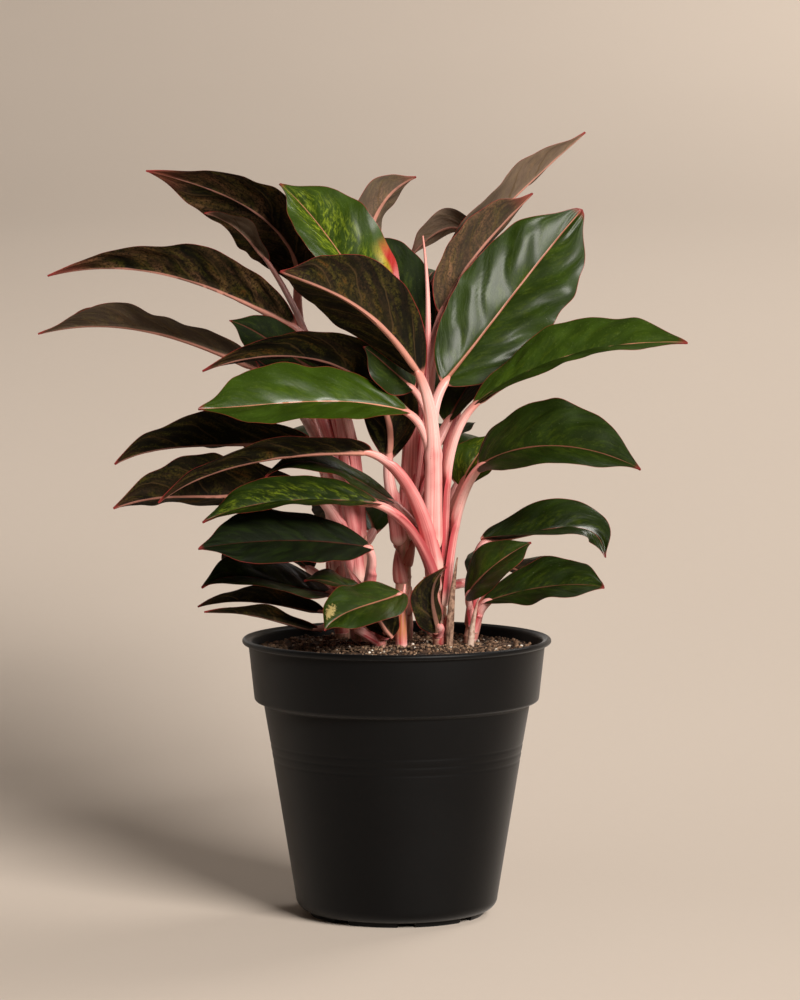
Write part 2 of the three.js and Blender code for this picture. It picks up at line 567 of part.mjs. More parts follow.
addPiece("pot", potGeometry(), 0x1b1c1e, 0.5, 0);
addPiece("soil", soilGeometry(), 0x2a1d16, 0.95, 0);
for (const name of Object.keys(stems)) {
  addPiece(`stem_${name}`, stemGeometry(name), 0xd98a86, 0.45, 0);
}
addPiece("dry_sheath", growthGeometry(growths.dry_sheath), 0x6b4a33, 0.7, 0);
addPiece("young_shoot", growthGeometry(growths.young_shoot), 0xb9a08c, 0.6, 0);
for (const [name, leaf] of Object.entries(leaves)) {
  addPiece(`leaf_${name}`, bladeGeometry(leaf), 0x2c4a22, 0.35, 0);
}

export default plant;
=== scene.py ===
"""
A potted jungle red aglaonema, dressed over its solid model.

The scene shares the model's frame: metres, +Z up, with the origin in the middle of the pot's foot and
the photographed side towards -Y. Sizes of the plant and its pot are given in millimetres, and become
metres as each mesh is made.
"""

import random
from math import copysign, cos, exp, hypot, pi, radians, sin, sqrt, tau

import bmesh
import bpy
from mathutils import Matrix, Vector, noise


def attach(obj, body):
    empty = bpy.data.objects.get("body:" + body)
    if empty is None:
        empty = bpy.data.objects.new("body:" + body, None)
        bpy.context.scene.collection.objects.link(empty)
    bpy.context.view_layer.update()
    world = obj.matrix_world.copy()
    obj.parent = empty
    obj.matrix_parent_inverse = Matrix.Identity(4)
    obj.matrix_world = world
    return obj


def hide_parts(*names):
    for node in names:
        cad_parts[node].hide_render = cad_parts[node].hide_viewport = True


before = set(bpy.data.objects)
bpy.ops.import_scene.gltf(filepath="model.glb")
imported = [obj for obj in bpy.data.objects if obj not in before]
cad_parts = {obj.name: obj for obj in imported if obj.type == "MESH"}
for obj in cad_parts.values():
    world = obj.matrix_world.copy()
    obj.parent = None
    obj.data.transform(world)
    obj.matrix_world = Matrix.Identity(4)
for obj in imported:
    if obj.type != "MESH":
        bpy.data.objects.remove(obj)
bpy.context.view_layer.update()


# Camera: level with the leaves, a good two and a half metres in front of the pot, looking a little
# down, as the photograph was taken.

CAMERA_PLACE = (0.002, -2.55, 0.463)
CAMERA_PITCH = 4.65
SENSOR_WIDTH = 36
FOCAL_LENGTH = 150.2


def added(name, data):
    """A new object in the scene."""
    made = bpy.data.objects.new(name, data)
    bpy.context.collection.objects.link(made)
    return made


camera_data = bpy.data.cameras.new("camera")
camera_data.sensor_width = SENSOR_WIDTH
camera_data.lens = FOCAL_LENGTH
camera = added("camera", camera_data)
camera.location = CAMERA_PLACE
camera.rotation_euler = (radians(90 - CAMERA_PITCH), 0, 0)
bpy.context.scene.camera = camera
bpy.context.scene.view_settings.view_transform = "Standard"


# Studio: a floor of warm grey paper that slopes up behind the pot and bends into a wall all round, far
# enough out for a camera to walk round the plant. The main soft light stands at the front right, a
# second one lights the leaves' edges from behind, and a third the wall on the right.


def worked_out(operation, turned=False):
    """A method that joins a field and another value by an operation, in that order or turned round."""

    def work(field, other=0):
        first, second = (other, field) if turned else (field, other)
        return field.paint.node("Math", {"operation": operation}, {0: first, 1: second})

    return work


class Field:
    """A number, colour or vector that varies over a surface: one output of a material's nodes."""

    __add__ = worked_out("ADD")
    __radd__ = worked_out("ADD", turned=True)
    __sub__ = worked_out("SUBTRACT")
    __rsub__ = worked_out("SUBTRACT", turned=True)
    __mul__ = worked_out("MULTIPLY")
    __rmul__ = worked_out("MULTIPLY", turned=True)
    __truediv__ = worked_out("DIVIDE")
    __pow__ = worked_out("POWER")
    __lt__ = worked_out("LESS_THAN")
    __gt__ = worked_out("GREATER_THAN")
    __abs__ = worked_out("ABSOLUTE")
    sine = worked_out("SINE")
    # Runs up from 0 to a given height and down again, over and over.
    bounced = worked_out("PINGPONG")

    def __init__(self, paint, socket):
        self.paint = paint
        self.socket = socket

    def step(self, low, high):
        """Rises smoothly from 0 where the field is low to 1 where it is high."""
        values = {"Value": self, "From Min": low, "From Max": high}
        return self.paint.node("MapRange", {"interpolation_type": "SMOOTHSTEP"}, values)


class Paint:
    """One material: its surface shader and the nodes that feed it."""

    def __init__(self, name, **constants):
        self.material = bpy.data.materials.new(name)
        self.material.use_nodes = True
        self.tree = self.material.node_tree
        self.shader = self.tree.nodes["Principled BSDF"]
        for socket, value in constants.items():
            self.shader.inputs[socket.replace("_", " ")].default_value = value

    def node(self, kind, settings=None, values=None, output=0):
        """One output of a new shader node, whose settings are made before its sockets are filled."""
        made = self.tree.nodes.new(f"ShaderNode{kind}")
        for name, value in (settings or {}).items():
            setattr(made, name, value)
        for name, value in (values or {}).items():
            if isinstance(value, Field):
                self.tree.links.new(value.socket, made.inputs[name])
            else:
                made.inputs[name].default_value = value
        return Field(self, made.outputs[output])

    def place(self):
        """The place on the piece, in metres."""
        return self.node("TexCoord", output="Object")

    def around_and_along(self):
        """How far round a rolled piece and how far along it each point lies, both from 0 to 1."""
        place = self.node("UVMap", {"uv_map": "UVMap"})
        return [self.node("SeparateXYZ", values={0: place}, output=axis) for axis in (0, 1)]

    def traits(self, names):
        """The numbers that the points of a piece carry under these names."""
        kind = "Attribute"
        return {name: self.node(kind, {"attribute_name": name}, output="Fac") for name in names}

    def vector(self, x, y, z):
        return self.node("CombineXYZ", values={0: x, 1: y, 2: z})

    def mixed(self, mask, low, high):
        """The colour low where the mask is 0 and high where it is 1."""
        low, high = (value if isinstance(value, Field) else (*value, 1) for value in (low, high))
        return self.node("Mix", {"data_type": "RGBA"}, {0: mask, 6: low, 7: high}, output=2)

    def coated(self, colour, *coats):
        """A colour under coats laid on in turn, each a mask and the colour it gives where it is 1."""
        for mask, coat in coats:
            colour = self.mixed(mask, colour, coat)
        return colour

    def grain(self, where, scale, detail=2, rough=0.5):
        """Soft noise from 0 to 1; scale counts its lumps in a metre of where."""
        values = {"Vector": where, "Scale": scale, "Detail": detail, "Roughness": rough}
        return self.node("TexNoise", values=values)

    def relief(self, height, depth, strength=1):
        """The surface's direction with bumps, depth metres from height 0 to height 1."""
        values = {"Height": height, "Distance": depth, "Strength": strength}
        return self.node("Bump", values=values)

    def feed(self, **fields):
        for socket, field in fields.items():
            self.tree.links.new(field.socket, self.shader.inputs[socket.replace("_", " ")])


def standing(name, mesh, *paints, crease=None):
    """Puts a finished mesh in the scene, its faces outward and smoothed up to the crease angle."""
    bmesh.ops.recalc_face_normals(mesh, faces=mesh.faces)
    data = bpy.data.meshes.new(name)
    mesh.to_mesh(data)
    mesh.free()
    for paint in paints:
        data.materials.append(paint.material)
    data.shade_smooth()
    if crease:
        data.set_sharp_from_angle(angle=radians(crease))
    return added(name, data)


def spun(mesh, outline, steps):
    """Turns an outline of (radius, height) points, in metres, once round the upright axis."""
    verts = [mesh.verts.new((radius, 0, height)) for radius, height in outline]
    line = verts + [mesh.edges.new(pair) for pair in zip(verts, verts[1:])]
    bmesh.ops.spin(mesh, geom=line, cent=(0, 0, 0), axis=(0, 0, 1), angle=tau, steps=steps, use_merge=True)
    bmesh.ops.remove_doubles(mesh, verts=mesh.verts, dist=1e-6)


def eased(x):
    """Rises smoothly from 0 to 1 as x does."""
    x = min(1, max(0, x))
    return x * x * (3 - 2 * x)


FLAT_RADIUS = 0.15
SLOPE_LENGTH = 1.7
SLOPE_HEIGHT = 0.3
WALL_RADIUS = 6.6
FRONT_BEND = 2.9
BACK_BEND = 5.9
WALL_HEIGHT = 1
FLOOR_STEP = 0.06
FLOOR_ROWS = 41
PAPER_STEPS = 96
PAPER = (0.62, 0.53, 0.45)
PAPER_LIGHT = (0.66, 0.57, 0.49)

paper = Paint("warm_paper", Roughness=0.9, Specular_IOR_Level=0.15)
cloudy = paper.grain(paper.place(), 2.2, detail=4)
flecked = paper.grain(paper.place(), 160, detail=3)
paper.feed(
    Base_Color=paper.mixed(cloudy * 0.7 + flecked * 0.3, PAPER, PAPER_LIGHT),
    Normal=paper.relief(flecked, 0.0002, 0.3),
)

mesh = bmesh.new()
sweep = [(FLOOR_STEP * i, 0) for i in range(FLOOR_ROWS)]
sweep += [(WALL_RADIUS * sin(radians(turn)), 0) for turn in range(22, 91, 2)]
sweep.append((WALL_RADIUS, WALL_HEIGHT))
spun(mesh, sweep, PAPER_STEPS)
for vert in mesh.verts:
    radius = vert.co.xy.length
    behind = 0.5 + 0.5 * vert.co.y / max(radius, FLAT_RADIUS)
    slope = SLOPE_HEIGHT * behind * eased((radius - FLAT_RADIUS) / SLOPE_LENGTH)
    bend = FRONT_BEND + (BACK_BEND - FRONT_BEND) * behind
    past = max(0, radius - (WALL_RADIUS - bend))
    vert.co.z += slope + bend - sqrt(max(0, bend * bend - past * past))
backdrop = standing("paper_sweep", mesh, paper)

LIGHT_COLOUR = (1, 0.96, 0.91)
AIR_COLOUR = (1, 0.95, 0.9, 1)
AIR_STRENGTH = 0.075
LIGHTS = {
    # name: (place, the point it looks at, the soft box's width and height, power in watts, spread)
    "key": ((2.2, -3.17, 2.1), (0.1, 0.6, 0.25), (2.4, 1.2), 103, 100),
    "rim": ((1.5, 1.5, 1.9), (0, 0, 0.25), (1, 0.8), 5, 90),
    "wall": ((1.7, 1.4, 2.6), (0.9, 3.4, 0.9), (1, 0.8), 25, 110),
}
for name, (place, target, (width, height), power, spread) in LIGHTS.items():
    light = bpy.data.lights.new(name, "AREA")
    light.shape = "RECTANGLE"
    light.size = width
    light.size_y = height
    light.energy = power
    light.spread = radians(spread)
    light.color = LIGHT_COLOUR
    lamp = added(name, light)
    lamp.location = place
    lamp.rotation_euler = (Vector(target) - Vector(place)).to_track_quat("-Z", "Y").to_euler()

world = bpy.data.worlds.new("studio_air")
world.use_nodes = True
air = world.node_tree.nodes["Background"].inputs
air["Color"].default_value = AIR_COLOUR
air["Strength"].default_value = AIR_STRENGTH
bpy.context.scene.world = world


# Pot: a thin wall of black satin plastic, moulded in one piece with a rolled rim, a tall collar over a
# stepped shoulder, three fine rings and a raised floor. Water leaves by eight holes and eight notches.

POT_HEIGHT = 171
WALL = 1.8
RIM_RADIUS = 95
RIM_THICKNESS = 3.6
COLLAR_TOP_RADIUS = 91.1
COLLAR_BOTTOM_RADIUS = 87.6
COLLAR_BOTTOM = 133
BODY_TOP_RADIUS = 81.6
BODY_TOP = 130
BODY_FOOT_RADIUS = 61
RING_HEIGHTS = (96, 101, 106)
RING_DEPTH = 0.3
CORNER_RADIUS = 8
FOOT_RING_RADIUS = 54
FOOT_RING_WIDTH = 5
FOOT_HEIGHT = 3
FLOOR_THICKNESS = 2.4
PAD_RADIUS = 14
NOTCH_WIDTH = 11
NOTCH_HEIGHT = 2.5
NOTCH_COUNT = 8
NOTCH_TURN = -83.6
DRAIN_RADIUS = 5
DRAIN_CIRCLE = 36
DRAIN_CUT = 20
DRAIN_SIDES = 20
POT_STEPS = 144


def arc(middle, radius, start, end, steps):
    """Points of a round corner in an outline, turning from one angle to another, in degrees."""
    points = []
    for i in range(steps + 1):
        turn = radians(start + (end - start) * i / steps)
        points.append((middle[0] + radius * cos(turn), middle[1] + radius * sin(turn)))
    return points


def body_radius(z):
    """Half the width of the tapered body at a height."""
    taper = (BODY_TOP_RADIUS - BODY_FOOT_RADIUS) / (BODY_TOP - FOOT_HEIGHT)
    return BODY_FOOT_RADIUS + (z - FOOT_HEIGHT) * taper


ring_bottom = FOOT_RING_RADIUS - FOOT_RING_WIDTH
outline = [(0, 0), (PAD_RADIUS, 0), (PAD_RADIUS + 1, FOOT_HEIGHT), (ring_bottom, FOOT_HEIGHT)]
outline += [(ring_bottom + 0.3, 0.4), (ring_bottom + 0.8, 0)]
outline += [(FOOT_RING_RADIUS - 0.6, 0), (FOOT_RING_RADIUS, 0.6), (FOOT_RING_RADIUS + 0.3, FOOT_HEIGHT)]
corner = (body_radius(FOOT_HEIGHT + CORNER_RADIUS) - CORNER_RADIUS, FOOT_HEIGHT + CORNER_RADIUS)
outline += arc(corner, CORNER_RADIUS, -88, 0, 10)
for z in RING_HEIGHTS:
    for step, depth in ((-1.6, 0), (-0.8, 0.2), (0, 1), (0.8, 0.2), (1.6, 0)):
        outline.append((body_radius(z + step) - RING_DEPTH * depth, z + step))
outline += [(BODY_TOP_RADIUS - 0.2, BODY_TOP - 2.5)]
outline += arc((BODY_TOP_RADIUS + 1.6, BODY_TOP - 0.6), 1.6, 180, 100, 5)
outline += arc((COLLAR_BOTTOM_RADIUS - 2.2, COLLAR_BOTTOM + 1.4), 2.2, -80, -5, 6)
outline += [(COLLAR_TOP_RADIUS - 0.1, POT_HEIGHT - RIM_THICKNESS - 1.8)]
outline += arc((COLLAR_TOP_RADIUS + 1.1, POT_HEIGHT - RIM_THICKNESS - 1.2), 1.2, 180, 90, 4)
rim_roll = RIM_THICKNESS / 2
outline += arc((RIM_RADIUS - rim_roll, POT_HEIGHT - rim_roll), rim_roll, -90, 120, 12)
outline += arc((COLLAR_TOP_RADIUS + 0.6, POT_HEIGHT - 3), 2.4, 90, 180, 5)
outline += [
    (COLLAR_BOTTOM_RADIUS - WALL, COLLAR_BOTTOM + WALL),
    (BODY_TOP_RADIUS - WALL, BODY_TOP + WALL),
    (BODY_FOOT_RADIUS - WALL, FOOT_HEIGHT + CORNER_RADIUS),
    (BODY_FOOT_RADIUS - CORNER_RADIUS, FOOT_HEIGHT + FLOOR_THICKNESS),
    (0, FOOT_HEIGHT + FLOOR_THICKNESS),
]

mesh = bmesh.new()
spun(mesh, [(radius / 1000, z / 1000) for radius, z in outline], POT_STEPS)

plastic = Paint("black_plastic", IOR=1.5, Specular_IOR_Level=0.13, Sheen_Weight=0.12, Sheen_Roughness=0.4)
place = plastic.place()
speckle = plastic.grain(place, 900, detail=2)
haze = plastic.grain(place, 18, detail=5)
dust = plastic.grain(place, 420, detail=1).step(0.72, 0.8) * haze.step(0.5, 0.7)
plastic.feed(
    Base_Color=plastic.mixed(haze * 0.6 + dust, (0.0008, 0.0008, 0.001), (0.0032, 0.003, 0.0029)),
    Roughness=0.34 + haze * 0.16 + speckle * 0.06,
    Normal=plastic.relief(speckle, 0.00006, 0.6),
)
pot = standing("moulded_pot", mesh, plastic)

mesh = bmesh.new()
for i in range(NOTCH_COUNT):
    cutter = bmesh.ops.create_cube(mesh, size=0.001)["verts"]
    bmesh.ops.scale(mesh, vec=(FOOT_RING_WIDTH * 3, NOTCH_WIDTH, NOTCH_HEIGHT * 2), verts=cutter)
    bmesh.ops.translate(mesh, vec=((FOOT_RING_RADIUS - FOOT_RING_WIDTH / 2) / 1000, 0, 0), verts=cutter)
    radius = DRAIN_RADIUS / 1000
    drain = bmesh.ops.create_cone(
        mesh, cap_ends=True, segments=DRAIN_SIDES, radius1=radius, radius2=radius, depth=DRAIN_CUT / 1000
    )["verts"]
    bmesh.ops.translate(mesh, vec=(DRAIN_CIRCLE / 1000, 0, 0), verts=drain)
    cutter += drain
    turn = Matrix.Rotation(radians(NOTCH_TURN) + tau * i / NOTCH_COUNT, 3, "Z")
    bmesh.ops.rotate(mesh, cent=(0, 0, 0), matrix=turn, verts=cutter)
cutters = standing("cutters", mesh)
cut = pot.modifiers.new("cut", "BOOLEAN")
cut.operation = "DIFFERENCE"
cut.solver = "EXACT"
cut.object = cutters
bpy.context.view_layer.update()
cut_data = bpy.data.meshes.new_from_object(pot.evaluated_get(bpy.context.evaluated_depsgraph_get()))
pot.modifiers.clear()
pot.data = cut_data
pot.data.set_sharp_from_angle(angle=radians(38))
bpy.data.objects.remove(cutters)

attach(pot, "root")
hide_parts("pot")


# Potting mix: dark peat pressed in to just under the rim, with loose crumbs, pale fibres and a few
# white mineral grains lying on top of it.

SOIL_EDGE_RADIUS = 88.3
SOIL_EDGE_HEIGHT = 163.5
SOIL_MOUND = 3
SOIL_BOTTOM = 8
SOIL_ROWS = 64
SOIL_STEPS = 220
SOIL_LUMP = 1.6
HEAP_PLACE = (22, -52)
HEAP_HEIGHT = 4.5
HEAP_WIDTH = 26


def soil_height(x, y):
    """The height of the mix over a place, before its crumbs."""
    rise = SOIL_MOUND * (1 - (x * x + y * y) / SOIL_EDGE_RADIUS**2)
    lumps = noise.fractal(Vector((x / 14, y / 14, 3)), 1, 2.2, 4)
    away = hypot(x - HEAP_PLACE[0], y - HEAP_PLACE[1]) / HEAP_WIDTH
    return SOIL_EDGE_HEIGHT + rise + HEAP_HEIGHT * exp(-away * away) + SOIL_LUMP * lumps


mesh = bmesh.new()
soil_outline = [(SOIL_EDGE_RADIUS * i / SOIL_ROWS, SOIL_EDGE_HEIGHT) for i in range(SOIL_ROWS + 1)]
soil_outline += [(85, 134), (79, 130), (60, 14), (53, SOIL_BOTTOM), (0, SOIL_BOTTOM)]
spun(mesh, [(radius / 1000, z / 1000) for radius, z in soil_outline], SOIL_STEPS)
for vert in mesh.verts:
    if vert.co.z > (SOIL_EDGE_HEIGHT - 1) / 1000:
        vert.co.z = soil_height(vert.co.x * 1000, vert.co.y * 1000) / 1000

peat = Paint("peat", Roughness=0.92, Specular_IOR_Level=0.3)
place = peat.place()
clumps = peat.grain(place, 130, detail=6, rough=0.65)
specks = peat.grain(place, 700, detail=3)
peat_colour = peat.mixed(clumps.step(0.35, 0.7), (0.014, 0.008, 0.005), (0.11, 0.058, 0.033))
peat.feed(
    Base_Color=peat.mixed(specks.step(0.62, 0.74), peat_colour, (0.22, 0.14, 0.085)),
    Normal=peat.relief(clumps * 0.7 + specks * 0.3, 0.003),
)
bed = standing("soil_bed", mesh, peat)
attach(bed, "root")
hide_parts("soil")

CRUMB_MARGIN = 2.5
CRUMBS = {
    # name: (count, smallest and largest size, slimness, spread from the middle, two colours)
    "soil_crumbs": (1500, (0.7, 2), 0.75, 1, (0.03, 0.017, 0.01), (0.25, 0.145, 0.085)),
    "soil_chips": (700, (0.5, 1.2), 0.7, 0.8, (0.15, 0.085, 0.05), (0.42, 0.28, 0.18)),
    "soil_grains": (110, (0.6, 1.3), 0.9, 0.9, (0.55, 0.47, 0.38), (0.8, 0.73, 0.63)),
}
chance = random.Random(7)


def chance_place(reach):
    """A place on the mix, spread evenly out to a reach from the pot's axis."""
    turn = chance.uniform(0, tau)
    out = reach * sqrt(chance.random())
    return out * cos(turn), out * sin(turn)


def strew(mesh, verts, place, tilt, lift):
    """Leans a crumb over by a tilt, turns it by chance and lays it on the mix, raised by a lift."""
    turn = Matrix.Rotation(chance.uniform(0, tau), 3, "Z") @ Matrix.Rotation(tilt, 3, "X")
    bmesh.ops.rotate(mesh, cent=(0, 0, 0), matrix=turn, verts=verts)
    x, y = place
    bmesh.ops.translate(mesh, vec=(x / 1000, y / 1000, soil_height(x, y) / 1000 + lift), verts=verts)


for name, (count, (small, large), slim, spread, dark, light) in CRUMBS.items():
    mesh = bmesh.new()
    for _ in range(count):
        place = chance_place((SOIL_EDGE_RADIUS - CRUMB_MARGIN) * spread)
        size = chance.uniform(small, large) / 1000
        crumb = bmesh.ops.create_icosphere(mesh, subdivisions=1, radius=size)["verts"]
        for vert in crumb:
            vert.co *= chance.uniform(0.7, 1.25)
        bmesh.ops.scale(mesh, vec=(1, slim, slim * chance.uniform(0.6, 1)), verts=crumb)
        strew(mesh, crumb, place, chance.uniform(-1, 1), size * 0.35)
    crumb_paint = Paint(name, Roughness=0.9, Specular_IOR_Level=0.3)
    place = crumb_paint.place()
    patches = crumb_paint.grain(place, 260, detail=1)
    pores = crumb_paint.grain(place, 2200, detail=2)
    crumb_paint.feed(
        Base_Color=crumb_paint.mixed(patches.step(0.35, 0.68), dark, light),
        Normal=crumb_paint.relief(pores, 0.0004),
    )
    crumbs = standing(name, mesh, crumb_paint)
    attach(crumbs, "root")

FIBRE_COUNT = 170
FIBRE_SIDES = 5
FIBRE_MARGIN = 9
mesh = bmesh.new()
for _ in range(FIBRE_COUNT):
    place = chance_place(SOIL_EDGE_RADIUS - FIBRE_MARGIN)
    length = chance.uniform(3, 10) / 1000
    thickness = chance.uniform(0.18, 0.45) / 1000
    fibre = bmesh.ops.create_cone(
        mesh, cap_ends=True, segments=FIBRE_SIDES, radius1=thickness, radius2=thickness * 0.5, depth=length
    )["verts"]
    strew(mesh, fibre, place, chance.uniform(1.2, 1.7), 0.001)
fibre_paint = Paint("peat_fibre", Roughness=0.85)
shade = fibre_paint.grain(fibre_paint.place(), 120, detail=1)
fibre_paint.feed(
    Base_Color=fibre_paint.mixed(shade.step(0.3, 0.7), (0.05, 0.028, 0.016), (0.26, 0.16, 0.09))
)
fibres = standing("soil_fibres", mesh, fibre_paint)
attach(fibres, "root")


# Leaves: thin glossy blades, folded up from a pink midrib, deep green with yellow green streaks above
# and bronze below, inside a fine red edge. Each grows from the tip of its own stalk.

